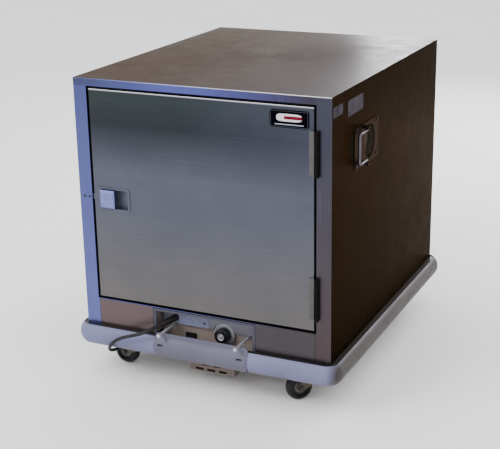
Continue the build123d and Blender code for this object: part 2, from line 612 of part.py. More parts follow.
def control_panel():
    """Raised upper plate of the face, with returns top and bottom and room for the dial."""
    t = LINER_SHEET
    x = MODULE_X - 8
    panel = box(-x, x, PANEL_FACE_Y, PANEL_FACE_Y + t, PANEL_BOTTOM, PANEL_TOP)
    panel = panel + box(-x, x, PANEL_FACE_Y, MODULE_FACE_Y, PANEL_TOP - t, PANEL_TOP)
    panel = panel + box(-x, x, PANEL_FACE_Y, MODULE_FACE_Y, PANEL_BOTTOM, PANEL_BOTTOM + t)
    panel -= rod_y(DIAL_X, PANEL_FACE_Y - 5, MODULE_FACE_Y + 5, DIAL_Z, DIAL_RADIUS + 0.5)
    panel -= rod_y(GLAND_X, PANEL_FACE_Y - 5, MODULE_FACE_Y + 5, GLAND_Z, 9.0)
    panel -= rod_y(LAMP_X, PANEL_FACE_Y - 5, PANEL_FACE_Y + 5, LAMP_Z, LAMP_RADIUS)
    return panel.solid()


def thermostat_dial():
    """Raised round bezel round the knob."""
    y0 = MODULE_FACE_Y - 9
    ring = rod_y(DIAL_X, y0, MODULE_FACE_Y, DIAL_Z, DIAL_RADIUS)
    ring = chamfer(ring.edges().filter_by(GeomType.CIRCLE).sort_by(Axis.Y)[0], 1.5)
    ring -= rod_y(DIAL_X, y0 - 1, y0 + 2, DIAL_Z, DIAL_RADIUS - 5)
    return ring - rod_y(DIAL_X, y0 - 1, MODULE_FACE_Y + 1, DIAL_Z, 3.2)


def thermostat_knob():
    """Grip with finger flats and a shaft through the bezel."""
    y0 = MODULE_FACE_Y - 9 + 0.5
    y1 = y0 - KNOB_LENGTH
    knob = rod_y(DIAL_X, y1, y0, DIAL_Z, KNOB_RADIUS)
    knob = chamfer(knob.edges().filter_by(GeomType.CIRCLE).sort_by(Axis.Y)[0], 1.5)
    for step in range(12):
        angle = math.radians(step * 30)
        x = DIAL_X + (KNOB_RADIUS + 1.2) * math.cos(angle)
        z = DIAL_Z + (KNOB_RADIUS + 1.2) * math.sin(angle)
        knob -= rod_y(x, y1 - 1, y0 - 4, z, 2.4)
    knob -= rod_y(DIAL_X, y1 - 1, y1 + 1.2, DIAL_Z, 9.0)
    shaft = rod_y(DIAL_X, y0 - 1, MODULE_FACE_Y + 14, DIAL_Z, 3.15)
    return (knob + shaft).solid()


def switch_bezel():
    """Frame of the rocker switch."""
    frame = plate_xz(SWITCH_X - 15, SWITCH_X + 15, MODULE_FACE_Y - 2, MODULE_FACE_Y,
                     SWITCH_Z - 7.5, SWITCH_Z + 7.5, 1.5)
    sleeve = box(SWITCH_X - 13, SWITCH_X + 13, MODULE_FACE_Y, MODULE_FACE_Y + 14,
                 SWITCH_Z - 5.6, SWITCH_Z + 5.6)
    body = frame + sleeve
    body -= box(SWITCH_X - 11.6, SWITCH_X + 11.6, MODULE_FACE_Y - 3, MODULE_FACE_Y + 11,
                SWITCH_Z - 4.8, SWITCH_Z + 4.8)
    return body.solid()


def power_switch():
    """Rocker: a shallow V seen from above, tilted to one side about an upright pivot."""
    half = 10.6
    tip = 2.5
    with BuildSketch(Plane.XY) as outline:
        with BuildLine():
            Polyline((-half, -tip), (0, -0.8), (half, -tip), (half * 0.7, 3.5), (0, 6), (-half * 0.7, 3.5),
                     close=True)
        make_face()
    rocker = extrude(outline.sketch, amount=4.5, both=True)
    return Pos(SWITCH_X, MODULE_FACE_Y + SWITCH_PIVOT, SWITCH_Z) * Rot(0, 0, -SWITCH_TILT) * Pos(
        0, -SWITCH_PIVOT, 0) * rocker


def pilot_lamp():
    """Small round lens in the upper plate."""
    lens = rod_y(LAMP_X, PANEL_FACE_Y - 1.5, PANEL_FACE_Y + 6, LAMP_Z, LAMP_RADIUS)
    return fillet(lens.edges().filter_by(GeomType.CIRCLE).sort_by(Axis.Y)[0], 1.2)


def heating_element():
    """Tubular heater in three hairpins under the water pan."""
    y_end = MODULE_BACK_Y - LINER_SHEET
    y_near = PAN_Y1 - 20
    y_far = PAN_Y0 + 10
    outer_x = 75.0
    inner_x = 25.0
    plan = [(-outer_x, y_end), (-outer_x, y_far), (-inner_x, y_far), (-inner_x, y_near),
            (inner_x, y_near), (inner_x, y_far), (outer_x, y_far), (outer_x, y_end)]
    return tube_along([(x, y, HEATER_Z) for x, y in plan], 20.0, 4.0)


def blower_motor():
    """Motor on the module's floor with its shaft upwards."""
    floor = MODULE_BOTTOM + LINER_SHEET
    motor = rod_z(0, BLOWER_Y, floor, floor + 40, 32)
    motor = fillet(motor.edges().filter_by(GeomType.CIRCLE).sort_by(Axis.Z)[-1], 5)
    return (motor + rod_z(0, BLOWER_Y, floor + 35, floor + 57, 3)).solid()


def fan_wheel():
    """Hub, back disc and upright blades."""
    z0 = MODULE_BOTTOM + LINER_SHEET + 44
    hub = rod_z(0, BLOWER_Y, z0, z0 + 16, 9)
    disc = rod_z(0, BLOWER_Y, z0, z0 + 1.5, 58)
    wheel = hub + disc
    for step in range(FAN_BLADES):
        spoke = Rot(0, 0, step * 360 / FAN_BLADES) * Pos(32, 0, 0) * Rot(0, 0, 20)
        blade = Pos(0, BLOWER_Y, z0 + 8) * spoke * Box(46, 1.5, 14)
        wheel = wheel + blade
    wheel -= rod_z(0, BLOWER_Y, z0 - 1, z0 + 14, 3 + RUNNING_GAP)
    return wheel.solid()


def water_pan():
    """Pan that hangs by its rim in the floor of the cavity."""
    t = LINER_SHEET
    rim = 7.0
    z_rim = CAVITY_BOTTOM + 0.3
    pan = box(-PAN_X, PAN_X, PAN_Y0, PAN_Y1, PAN_BOTTOM, z_rim + t)
    pan = pan + box(-PAN_X - rim, PAN_X + rim, PAN_Y0 - rim, PAN_Y1 + rim, z_rim, z_rim + t)
    pan -= box(-PAN_X + t, PAN_X - t, PAN_Y0 + t, PAN_Y1 - t, PAN_BOTTOM + t, z_rim + 5)
    return pan.solid()


def louvred_cover():
    """Box below the bumper with offset rows of air slots at the front."""
    t = LINER_SHEET
    cover = box(-LOUVRE_X, LOUVRE_X, LOUVRE_Y0, LOUVRE_Y1, LOUVRE_BOTTOM, MODULE_BOTTOM)
    cover -= box(-LOUVRE_X + t, LOUVRE_X - t, LOUVRE_Y0 + t, LOUVRE_Y1 - t, LOUVRE_BOTTOM + t,
                 MODULE_BOTTOM + 1)
    half_x = LOUVRE_SLOT[0] / 2
    half_z = LOUVRE_SLOT[1] / 2
    for row in range(LOUVRE_ROWS):
        z = LOUVRE_BOTTOM + 6 + row * LOUVRE_PITCH[1]
        slots = 3 - row % 2
        for column in range(slots):
            x = (column - (slots - 1) / 2) * LOUVRE_PITCH[0] - 2
            cover -= plate_xz(x - half_x, x + half_x, LOUVRE_Y0 - 1, LOUVRE_Y0 + 3,
                              z - half_z, z + half_z, 2.5)
    return cover.solid()


# ---- mains lead -----------------------------------------------------------------------------

def cord_route():
    """Every corner of the lead, from the sleeve's tip to the coil; it leaves along the sleeve."""
    start = Vector(*RELIEF_START)
    reach = Vector(*RELIEF_REACH)
    leaving = [tuple(start + reach), tuple(start + reach * 1.65)]
    return leaving + CORD_CORNERS


def strain_relief():
    """Gland in the face with a tapered sleeve that leans towards the left."""
    start = Vector(*RELIEF_START)
    reach = Vector(*RELIEF_REACH)
    gland = rod_y(GLAND_X, RELIEF_START[1], MODULE_FACE_Y + 6, GLAND_Z, 9.0)
    flare = Pos(*RELIEF_START) * Sphere(9.0)
    flare -= box(GLAND_X - 10, GLAND_X + 10, RELIEF_START[1] + 3, RELIEF_START[1] + 12, GLAND_Z - 10,
                 GLAND_Z + 10)
    sleeve = Plane(tuple(start + reach / 2), z_dir=tuple(reach)) * Cone(8.6, 5.6, reach.length)
    return (gland + flare + sleeve).solid()


def cord_radii(route):
    """The largest arc that each corner of the route leaves room for."""
    radii = []
    points = [Vector(*point) for point in route]
    for before, corner, after in zip(points, points[1:], points[2:]):
        turn = math.radians((corner - before).get_angle(after - corner))
        shorter = min((corner - before).length, (after - corner).length)
        radii.append(0.45 * shorter / math.tan(turn / 2))
    return radii


def mains_cord():
    """The lead from the strain relief to the coil."""
    route = cord_route()
    radii = cord_radii(route)
    print("cord arcs", [round(r, 1) for r in radii])
    tube = tube_along(route, radii, CORD_RADIUS)
    length = FilletPolyline(*route, radius=radii).length
    print("cord tube", round(length, 1), "volume ratio",
          round(tube.volume / (length * math.pi * CORD_RADIUS ** 2), 4))
    return tube


def cord_coil():
    """Outer shape of the coil with its short tail to the plug."""
    x, y = COIL_CENTRE
    half_band = COIL_COLUMNS * CORD_RADIUS
    height = 2 * COIL_LAYERS * CORD_RADIUS
    coil = rod_z(x, y, 0, height, COIL_RADIUS + half_band)
    coil -= rod_z(x, y, -1, height + 1, COIL_RADIUS - half_band)
    arriving_x, arriving_y, arriving_z = CORD_CORNERS[-1]
    arriving = rod_y(arriving_x, arriving_y, y, arriving_z, CORD_RADIUS)
    leaving = rod_x(x, PLUG_START_X, y + COIL_RADIUS, CORD_RADIUS + 0.4, CORD_RADIUS)
    return (coil + arriving + leaving).solid()


def mains_plug():
    """Straight two-blade plug with a round ground pin, lying beside the coil."""
    y = COIL_CENTRE[1] + COIL_RADIUS
    z = CORD_RADIUS + 0.4
    x = PLUG_START_X
    body = box(x + 18, x + 46, y - 13, y + 13, 0, 2 * z + 12)
    body = chamfer(body.edges().filter_by(Axis.X), 3)
    neck = Pos(x + 10, y, z) * Rot(0, 90, 0) * Cylinder(CORD_RADIUS + 0.4, 20)
    plug = body + neck
    middle = z + 6
    for side in (-1, 1):
        plug = plug + box(x + 45, x + 63, y + side * 6.35 - 0.75, y + side * 6.35 + 0.75,
                          middle - 1, middle + 5.3)
    plug = plug + rod_x(x + 45, x + 66, y, middle - 4.5, 2.4)
    return plug.solid()


# ---- handles --------------------------------------------------------------------------------

def handle_plate():
    """Right-hand plate with its dish and the two ears that the bail turns in."""
    x0 = HALF_WIDTH
    x1 = x0 + SHEET
    outline = RectangleRounded(HANDLE_PLATE_DEPTH, HANDLE_PLATE_HEIGHT, 8)
    plane = Plane((x0, HANDLE_Y, HANDLE_Z), x_dir=(0, 1, 0), z_dir=(1, 0, 0))
    plate = extrude(plane * outline, amount=SHEET)
    dish_plane = Plane((x1, DISH_Y, HANDLE_Z), x_dir=(0, 1, 0), z_dir=(-1, 0, 0))
    cup = extrude(dish_plane * Ellipse(DISH_RADII[0] + 1.2, DISH_RADII[1] + 1.2), amount=DISH_DEPTH + SHEET)
    hollow = extrude(dish_plane * Ellipse(*DISH_RADII), amount=DISH_DEPTH)
    plate = plate + cup - hollow
    for side in (-1, 1):
        z = HANDLE_Z + side * (BAIL_HALF_HEIGHT + BAIL_RADIUS + 3.5)
        ear = box(x1 - 0.5, x0 + BAIL_STAND_OFF + 6.5, BAIL_PIVOT_Y - 6.5, BAIL_PIVOT_Y + 6.5, z - 3, z + 3)
        plate = plate + ear
    plate -= rod_z(x0 + BAIL_STAND_OFF, BAIL_PIVOT_Y, HANDLE_Z - 60, HANDLE_Z + 60,
                   BAIL_RADIUS + RUNNING_GAP)
    return plate.solid()


def handle_bail():
    """Right-hand bail, folded towards the front; its ends turn in the ears."""
    x = HALF_WIDTH + BAIL_STAND_OFF
    z0 = HANDLE_Z - BAIL_HALF_HEIGHT
    z1 = HANDLE_Z + BAIL_HALF_HEIGHT
    end = BAIL_RADIUS + 6.0
    grip_y = BAIL_PIVOT_Y - BAIL_REACH
    path = [(x, BAIL_PIVOT_Y, z1 + end), (x, BAIL_PIVOT_Y, z1), (x, grip_y, z1), (x, grip_y, z0),
            (x, BAIL_PIVOT_Y, z0), (x, BAIL_PIVOT_Y, z0 - end)]
    return tube_along(path, [4.5, 9.0, 9.0, 4.5], BAIL_RADIUS)


# ---- casters --------------------------------------------------------------------------------

def caster_places():
    """Name, x and y of each caster's plate."""
    return [("front_left", -CASTER_X, CASTER_FRONT_Y), ("front_right", CASTER_X, CASTER_FRONT_Y),
            ("rear_left", -CASTER_X, CASTER_REAR_Y), ("rear_right", CASTER_X, CASTER_REAR_Y)]


def caster_bolt_places():
    """Centres of all sixteen plate bolts."""
    places = []
    for _, x, y in caster_places():
        for dx in (-PLATE_HOLE_X, PLATE_HOLE_X):
            for dy in (-PLATE_HOLE_Y, PLATE_HOLE_Y):
                places.append((x + dx, y + dy))
    return places


def top_plate(x, y):
    """The flat plate of a caster with its four holes."""
    plate = box(x - 31, x + 31, y - 25, y + 25, CHASSIS_BOTTOM - 3, CHASSIS_BOTTOM)
    for dx in (-PLATE_HOLE_X, PLATE_HOLE_X):
        for dy in (-PLATE_HOLE_Y, PLATE_HOLE_Y):
            plate -= rod_z(x + dx, y + dy, CHASSIS_BOTTOM - 4, CHASSIS_BOTTOM + 1, AXLE_RADIUS)
    return plate


def caster_plate(x, y):
    """Top plate, raceway and kingpin of a swivel caster."""
    raceway = rod_z(x, y, CHASSIS_BOTTOM - 8.5, CHASSIS_BOTTOM - 3, 22)
    raceway = fillet(raceway.edges().filter_by(GeomType.CIRCLE).sort_by(Axis.Z)[0], 2)
    kingpin = rod_z(x, y, CHASSIS_BOTTOM - 18.6, CHASSIS_BOTTOM - 8, 5)
    nut = rod_z(x, y, CHASSIS_BOTTOM - 18.6, CHASSIS_BOTTOM - 16.0, 7.5)
    return (top_plate(x, y) + raceway + kingpin + nut).solid()


def fork_leg(top_z, offset):
    """One leg in the fork's own plane, with a forward corner; the axle is offset along the rolling way."""
    with BuildSketch(Plane.XZ) as side:
        with BuildLine():
            Polyline((-17, top_z), (17, top_z), (15, 43), (offset + 7, WHEEL_RADIUS - 7),
                     (offset - 10, WHEEL_RADIUS), close=True)
        make_face()
        with Locations((offset, WHEEL_RADIUS)):
            Circle(10)
    leg = Pos(0, 17, 0) * extrude(side.sketch, amount=3)
    hole = rod_y(offset, 10, 20, WHEEL_RADIUS, AXLE_RADIUS)
    return leg - hole


def swivel_fork(name, x, y):
    """Fork of a front caster: crown, raceway cup and two legs, turned to its heading."""
    crown_z0 = CHASSIS_BOTTOM - 15.5
    crown_z1 = CHASSIS_BOTTOM - 12
    crown = box(-20, 20, -17, 17, crown_z0, crown_z1)
    cup = rod_z(0, 0, crown_z0, CHASSIS_BOTTOM - 9, 20)
    leg = fork_leg(crown_z1, -TRAIL)
    fork = crown + cup + leg + mirror(leg, about=Plane.XZ)
    fork -= rod_z(0, 0, 0, CHASSIS_BOTTOM, 5 + RUNNING_GAP)
    return (Pos(x, y, 0) * Rot(0, 0, HEADINGS[name]) * fork).solid()


def rigid_fork(x, y):
    """Rear caster's plate and legs in one pressing."""
    leg = Rot(0, 0, 90) * fork_leg(CHASSIS_BOTTOM - 2, 0)
    legs = leg + mirror(leg, about=Plane.YZ)
    return (top_plate(x, y) + Pos(x, y, 0) * legs).solid()


def wheel_shape():
    """Moulded wheel about Y: crowned tread, dished sides and a hub."""
    half = WHEEL_WIDTH / 2
    with BuildSketch(Plane.YZ) as profile:
        with BuildLine():
            Polyline((-half - 1, AXLE_RADIUS + 0.06), (-half - 1, 9), (-half + 4, 10), (-half + 4, 21),
                     (-half, 23), (-half, WHEEL_RADIUS - 4))
            ThreePointArc((-half, WHEEL_RADIUS - 4), (0, WHEEL_RADIUS), (half, WHEEL_RADIUS - 4))
            Polyline((half, WHEEL_RADIUS - 4), (half, 23), (half - 4, 21), (half - 4, 10), (half + 1, 9),
                     (half + 1, AXLE_RADIUS + 0.06), (-half - 1, AXLE_RADIUS + 0.06))
        make_face()
    return revolve(profile.sketch, axis=Axis.Y)


def axle_shape():
    """Axle bolt about Y with its head and nut."""
    shank = rod_y(0, -20, 20, 0, AXLE_RADIUS)
    head = rod_y(0, -21, -17, 0, 6.5)
    nut = rod_y(0, 17, 20, 0, 6.5)
    return (shank + head + nut).solid()


def wheel_place(name, x, y):
    """Where a wheel's centre is, and how its axle is turned."""
    if name in HEADINGS:
        return Pos(x, y, WHEEL_RADIUS) * Rot(0, 0, HEADINGS[name]) * Pos(-TRAIL, 0, 0)
    return Pos(x, y, WHEEL_RADIUS) * Rot(0, 0, 90)


def caster_bolts():
    """Sixteen plate bolts."""
    bolts = []
    for x, y in caster_bolt_places():
        shank = rod_z(x, y, CHASSIS_BOTTOM - 6, CHASSIS_BOTTOM + 8, AXLE_RADIUS)
        head = rod_z(x, y, CHASSIS_BOTTOM - 7, CHASSIS_BOTTOM - 3, 6)
        bolts.append((shank + head).solid())
    return Compound(bolts)


def panel_screws():
    """Low round heads: strike, back cover and handle plates."""
    heads = []
    for x in (-310.0, -296.5):
        heads.append(rod_y(x, FRONT - 1.0, FRONT, LATCH_Z, 3.0))
    for z in (CHASSIS_TOP + 20, (CHASSIS_TOP + TOP) / 2, TOP - 20):
        heads += both_sides(rod_y(HALF_WIDTH - 15, BACK, BACK + 1.6, z, 4.0))
    for y in (HANDLE_Y - 70, HANDLE_Y + 70):
        for z in (HANDLE_Z - 40, HANDLE_Z + 40):
            heads += both_sides(rod_x(HALF_WIDTH + SHEET, HALF_WIDTH + SHEET + 2, y, z, 4.0))
    return Compound(heads)


# ---- writing --------------------------------------------------------------------------------

def all_parts():
    """Every node's name and shape."""
    parts = {}
    for maker in (outer_shell, rear_panel, face_frame, inner_liner, wall_insulation, chassis_base,
                  base_panels, bumper_rail, bumper_strip, bumper_cover_plate, retaining_rods,
                  slide_uprights, pan_slides, door_skin, door_inner_panel, door_insulation, door_gasket,
                  badge, latch_body, latch_lever, latch_tongue, latch_strike, hinge_frame_leaves,
                  hinge_pins, hinge_door_leaves, module_housing, control_panel, thermostat_dial,
                  thermostat_knob, switch_bezel, power_switch, pilot_lamp, heating_element,
                  blower_motor, fan_wheel, water_pan, louvred_cover, strain_relief, mains_cord,
                  cord_coil, mains_plug, caster_bolts, panel_screws):
        parts[maker.__name__] = maker()
    parts["handle_plate_right"] = handle_plate()
    parts["handle_plate_left"] = mirror(parts["handle_plate_right"], about=Plane.YZ)
    parts["handle_bail_right"] = handle_bail()
    parts["handle_bail_left"] = mirror(parts["handle_bail_right"], about=Plane.YZ)
    rear_axles = []
    for name, x, y in caster_places():
        place = wheel_place(name, x, y)
        parts["wheel_" + name] = place * wheel_shape()
        if name in HEADINGS:
            parts["caster_plate_" + name] = caster_plate(x, y)
            parts["caster_fork_" + name] = swivel_fork(name, x, y)
            parts["axle_" + name] = place * axle_shape()
        else:
            parts["caster_fork_" + name] = rigid_fork(x, y)
            rear_axles.append(place * axle_shape())
    parts["axles_rear"] = Compound(rear_axles)
    return parts


os.makedirs("parts", exist_ok=True)
for node, shape in all_parts().items():
    export_step(shape, "parts/" + node + ".step")
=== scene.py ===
import math

import bmesh
import bpy
from mathutils import Matrix, Vector


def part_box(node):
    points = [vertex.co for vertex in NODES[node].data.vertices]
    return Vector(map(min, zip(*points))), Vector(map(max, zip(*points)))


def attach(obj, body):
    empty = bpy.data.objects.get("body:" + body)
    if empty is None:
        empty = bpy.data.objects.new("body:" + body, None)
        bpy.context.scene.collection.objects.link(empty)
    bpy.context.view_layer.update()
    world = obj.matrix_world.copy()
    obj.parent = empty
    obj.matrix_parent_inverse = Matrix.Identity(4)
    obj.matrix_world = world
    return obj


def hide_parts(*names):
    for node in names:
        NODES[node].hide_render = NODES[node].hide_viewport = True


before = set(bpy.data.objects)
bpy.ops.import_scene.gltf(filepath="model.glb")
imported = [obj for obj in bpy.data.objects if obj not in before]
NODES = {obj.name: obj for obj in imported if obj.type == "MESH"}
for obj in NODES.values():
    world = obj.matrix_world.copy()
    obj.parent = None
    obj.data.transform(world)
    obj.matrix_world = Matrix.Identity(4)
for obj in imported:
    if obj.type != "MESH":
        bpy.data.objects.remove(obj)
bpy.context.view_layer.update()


def corners(node):
    """Lowest and highest corner of a CAD node, rounded to a hundredth of a millimetre."""
    return [[round(value, 5) for value in corner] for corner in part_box(node)]


# Proofing cabinet. Metres, +Z up, front faces -Y. FRONT is the plane of the frame's and the door's face.
FRAME_LOW, FRAME_HIGH = corners("face_frame")
FRONT = FRAME_LOW[1]
BODY_SIDE = FRAME_HIGH[0]
BODY_FOOT = FRAME_LOW[2]
BODY_TOP = FRAME_HIGH[2]
TOP_RAIL = 0.018                        # height of the frame above the door's opening

# ---- camera, at the photograph's place -------------------------------------------------------
CAMERA_PLACE = (1.19285, -2.63438, 1.27889)
CAMERA_FORWARD = (-0.40531, 0.85722, -0.31766)
CAMERA_UP = (-0.11959, 0.29478, 0.94805)
CAMERA_LENS = 83.785


def make_camera():
    data = bpy.data.cameras.new("camera")
    data.lens = CAMERA_LENS
    data.sensor_width = 36.0
    data.clip_end = 100.0
    camera = bpy.data.objects.new("camera", data)
    bpy.context.collection.objects.link(camera)
    forward = Vector(CAMERA_FORWARD).normalized()
    right = forward.cross(Vector(CAMERA_UP)).normalized()
    up = right.cross(forward)
    turn = Matrix((right, up, -forward)).transposed()
    camera.matrix_world = Matrix.Translation(CAMERA_PLACE) @ turn.to_4x4()
    bpy.context.scene.camera = camera


make_camera()

# ---- mains lead ------------------------------------------------------------------------------
CORD_DIAMETER = 0.0085
RELIEF_START = Vector((-0.093, FRONT + 0.032, 0.168))
RELIEF_REACH = Vector((-0.020, -0.036, -0.008))
RELIEF_ONWARD = 1.65                    # the lead runs on in line with the relief for this many reaches
CORD_CORNERS = [
    (-0.149, FRONT - 0.0435, 0.1445),
    (-0.180, FRONT - 0.0445, 0.134),
    (-0.212, FRONT - 0.0445, 0.122),
    (-0.238, FRONT - 0.044, 0.099),
    (-0.249, FRONT - 0.0265, 0.0755),
    (-0.240, FRONT + 0.0055, 0.071),
    (-0.213, FRONT + 0.0255, 0.072),
    (-0.178, FRONT + 0.0385, 0.0705),
    (-0.149, FRONT + 0.0665, 0.055),
    (-0.134, FRONT + 0.1055, 0.033),
    (-0.122, FRONT + 0.1395, 0.014),
    (-0.118, FRONT + 0.1685, 0.0046),
    (-0.118, FRONT + 0.1945, 0.0046),
]
COIL_CENTRE = (-0.068, FRONT + 0.232)
COIL_RADII = (0.05425, 0.04575)         # outer turn, inner turn
COIL_HEIGHTS = (0.0046, 0.0131, 0.0216)
COIL_POINTS = 16                        # per turn
COIL_STEADY = 0.75                      # part of a turn before it moves over to the next one
PLUG_START_X = -0.022


def coil_points():
    """Two turns in each layer: the outer and then the inner, the other way round in the middle layer."""
    points = []
    turns = []
    for level, height in enumerate(COIL_HEIGHTS):
        order = COIL_RADII if level % 2 == 0 else COIL_RADII[::-1]
        for radius in order:
            turns.append((radius, height))
    for number, (radius, height) in enumerate(turns):
        following = turns[min(number + 1, len(turns) - 1)]
        for step in range(COIL_POINTS):
            part = step / COIL_POINTS
            angle = math.pi - part * math.tau
            ease = max(0.0, part - COIL_STEADY) / (1 - COIL_STEADY)
            reach = radius + (following[0] - radius) * ease
            x = COIL_CENTRE[0] + reach * math.cos(angle)
            y = COIL_CENTRE[1] + reach * math.sin(angle)
            z = height + (following[1] - height) * ease
            points.append((x, y, z))
    return points


def make_cord(material):
    """One open NURBS line: out of the strain relief, under the cabinet, round the coil, to the plug."""
    start = RELIEF_START + RELIEF_REACH
    onward = RELIEF_START + RELIEF_REACH * RELIEF_ONWARD
    route = [tuple(start), tuple(onward)] + CORD_CORNERS + coil_points()
    top = COIL_HEIGHTS[-1]
    x, y = COIL_CENTRE
    reach = COIL_RADII[1]
    route += [
        (x - reach * 0.98, y + 0.010, top),
        (x - reach * 0.80, y + reach * 0.62, top),
        (x - reach * 0.30, y + 0.048, top - 0.001),
        (x + 0.012, y + 0.0505, top - 0.006),
        (x + 0.028, y + 0.0505, 0.0085),
        (PLUG_START_X, y + 0.050, 0.00465),
    ]
    curve = bpy.data.curves.new("lead", "CURVE")
    curve.dimensions = "3D"
    spline = curve.splines.new("NURBS")
    spline.points.add(len(route) - 1)
    for point, place in zip(spline.points, route):
        point.co = (*place, 1.0)
    spline.order_u = 3
    spline.use_endpoint_u = True
    spline.resolution_u = 6
    curve.bevel_depth = CORD_DIAMETER / 2
    curve.bevel_resolution = 6
    lead = bpy.data.objects.new("lead", curve)
    bpy.context.collection.objects.link(lead)
    curve.materials.append(material)
    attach(lead, "cabinet")
    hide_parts("mains_cord", "cord_coil")


# ---- material building blocks ----------------------------------------------------------------

class Nodes:
    """Adds nodes to one material. A value is a number, a colour or another node's output."""

    def __init__(self, name):
        self.material = bpy.data.materials.new(name)
        self.material.use_nodes = True
        self.tree = self.material.node_tree
        self.shader = self.tree.nodes["Principled BSDF"]
        self.place = self.add("ShaderNodeTexCoord").outputs["Object"]

    def add(self, kind, **settings):
        node = self.tree.nodes.new(kind)
        for key, value in settings.items():
            setattr(node, key, value)
        return node

    def feed(self, socket, value):
        """Gives a socket its value."""
        if isinstance(value, bpy.types.NodeSocket):
            self.tree.links.new(value, socket)
        elif isinstance(value, tuple):
            socket.default_value = (*value, 1.0)
        else:
            socket.default_value = value

    def noise(self, scale, stretch=(1, 1, 1), detail=3.0, rough=0.5, distortion=0.0):
        """Noise whose scale is in cycles a metre along each axis, as scale times stretch."""
        mapping = self.add("ShaderNodeMapping")
        mapping.inputs["Scale"].default_value = stretch
        self.feed(mapping.inputs["Vector"], self.place)
        noise = self.add("ShaderNodeTexNoise")
        self.feed(noise.inputs["Vector"], mapping.outputs["Vector"])
        self.feed(noise.inputs["Scale"], scale)
        self.feed(noise.inputs["Detail"], detail)
        self.feed(noise.inputs["Roughness"], rough)
        self.feed(noise.inputs["Distortion"], distortion)
        return noise.outputs["Fac"]

    def ramp(self, value, low, high, to_low=0.0, to_high=1.0):
        """A value stretched from low..high to to_low..to_high, and held there outside."""
        node = self.add("ShaderNodeMapRange")
        self.feed(node.inputs["Value"], value)
        self.feed(node.inputs["From Min"], low)
        self.feed(node.inputs["From Max"], high)
        self.feed(node.inputs["To Min"], to_low)
        self.feed(node.inputs["To Max"], to_high)
        return node.outputs["Result"]

    def maths(self, operation, a, b=0.0):
        """One sum. ABSOLUTE and SINE take only the first value."""
        node = self.add("ShaderNodeMath", operation=operation)
        self.feed(node.inputs[0], a)
        self.feed(node.inputs[1], b)
        return node.outputs["Value"]

    def mix(self, fac, a, b, blend="MIX"):
        """Mixes two colours."""
        node = self.add("ShaderNodeMix", data_type="RGBA", blend_type=blend)
        for index, value in ((0, fac), (6, a), (7, b)):
            self.feed(node.inputs[index], value)
        return node.outputs[2]

    def part_of(self, vector, name):
        """X, Y or Z of a vector."""
        split = self.add("ShaderNodeSeparateXYZ")
        self.feed(split.inputs[0], vector)
        return split.outputs[name]

    def axis(self, name):
        """X, Y or Z of the place on the object, in metres."""
        return self.part_of(self.place, name)

    def facing(self, name):
        """How far the surface's normal points along X, Y or Z."""
        return self.part_of(self.add("ShaderNodeNewGeometry").outputs["Normal"], name)

    def bump(self, height, distance, strength, over=None):
        node = self.add("ShaderNodeBump")
        self.feed(node.inputs["Height"], height)
        self.feed(node.inputs["Distance"], distance)
        self.feed(node.inputs["Strength"], strength)
        if over is not None:
            self.feed(node.inputs["Normal"], over)
        return node.outputs["Normal"]

    def scratches(self, scale, stretch, amount):
        """Thin broken lines along the short axis of the stretch, in a few patches."""
        line = self.ramp(self.noise(scale, stretch, detail=1.0), 0.70, 0.73)
        patch = self.ramp(self.noise(8.0, detail=1.0), 0.50, 0.60, 0.0, amount)
        return self.maths("MULTIPLY", line, patch)

    def finish(self, colour, roughness, normal=None, **sockets):
        """Fills the shader. Other sockets go by their own names, with _ for a space."""
        self.feed(self.shader.inputs["Base Color"], colour)
        self.feed(self.shader.inputs["Roughness"], roughness)
        if normal is not None:
            self.feed(self.shader.inputs["Normal"], normal)
        for name, value in sockets.items():
            self.feed(self.shader.inputs[name.replace("_", " ")], value)
        return self.material


WHOLE_HEIGHT = (BODY_FOOT, BODY_TOP)
MODULE_HEIGHT = (BODY_FOOT, corners("base_panels")[1][2])
SHADED_EDGE = (0.43, 0.41, 0.395)    # dims what steel mirrors at a flat angle
GRAIN = {"x": (0.012, 1, 1), "y": (1, 0.012, 1), "z": (1, 1, 0.012)}


def brushed_surface(n, colour, along, roughness, wear=1.0, clouds=0.35, metallic=1.0, **sockets):
    """Finishes a brushed sheet: grain along an axis, cloudy wiping marks, a few fine lines."""
    streak = n.noise(260.0, GRAIN[along], detail=4.0, rough=0.65)
    fine = n.noise(1500.0, GRAIN[along], detail=2.0, rough=0.6)
    cloud = n.noise(5.5, detail=4.0, rough=0.6)
    colour = n.mix(n.ramp(streak, 0.3, 0.7, 0.0, 0.10), colour, (0.06, 0.06, 0.065), "MULTIPLY")
    colour = n.mix(n.ramp(cloud, 0.35, 0.68, 0.0, clouds), colour, (1.35, 1.28, 1.22), "MULTIPLY")
    lines = n.scratches(420.0, GRAIN[along], 0.12 * wear)
    colour = n.mix(lines, colour, (0.55, 0.55, 0.58))
    smudge = n.noise(17.0, detail=5.0, rough=0.7, distortion=0.6)
    rough = n.ramp(smudge, 0.3, 0.75, roughness - 0.03, roughness + 0.10)
    rough = n.maths("ADD", rough, n.ramp(fine, 0.3, 0.7, -0.04, 0.05))
    relief = n.bump(fine, 0.00003, 0.3)
    relief = n.bump(cloud, 0.0009, 0.06, relief)
    return n.finish(colour, rough, relief, Metallic=metallic, Anisotropic=0.4, **sockets)


def brushed(name, bottom, top, span, along, roughness, **settings):
    """Brushed sheet whose colour runs from bottom to top over span."""
    n = Nodes(name)
    colour = n.mix(n.ramp(n.axis("Z"), *span), bottom, top)
    return brushed_surface(n, colour, along, roughness, **settings)


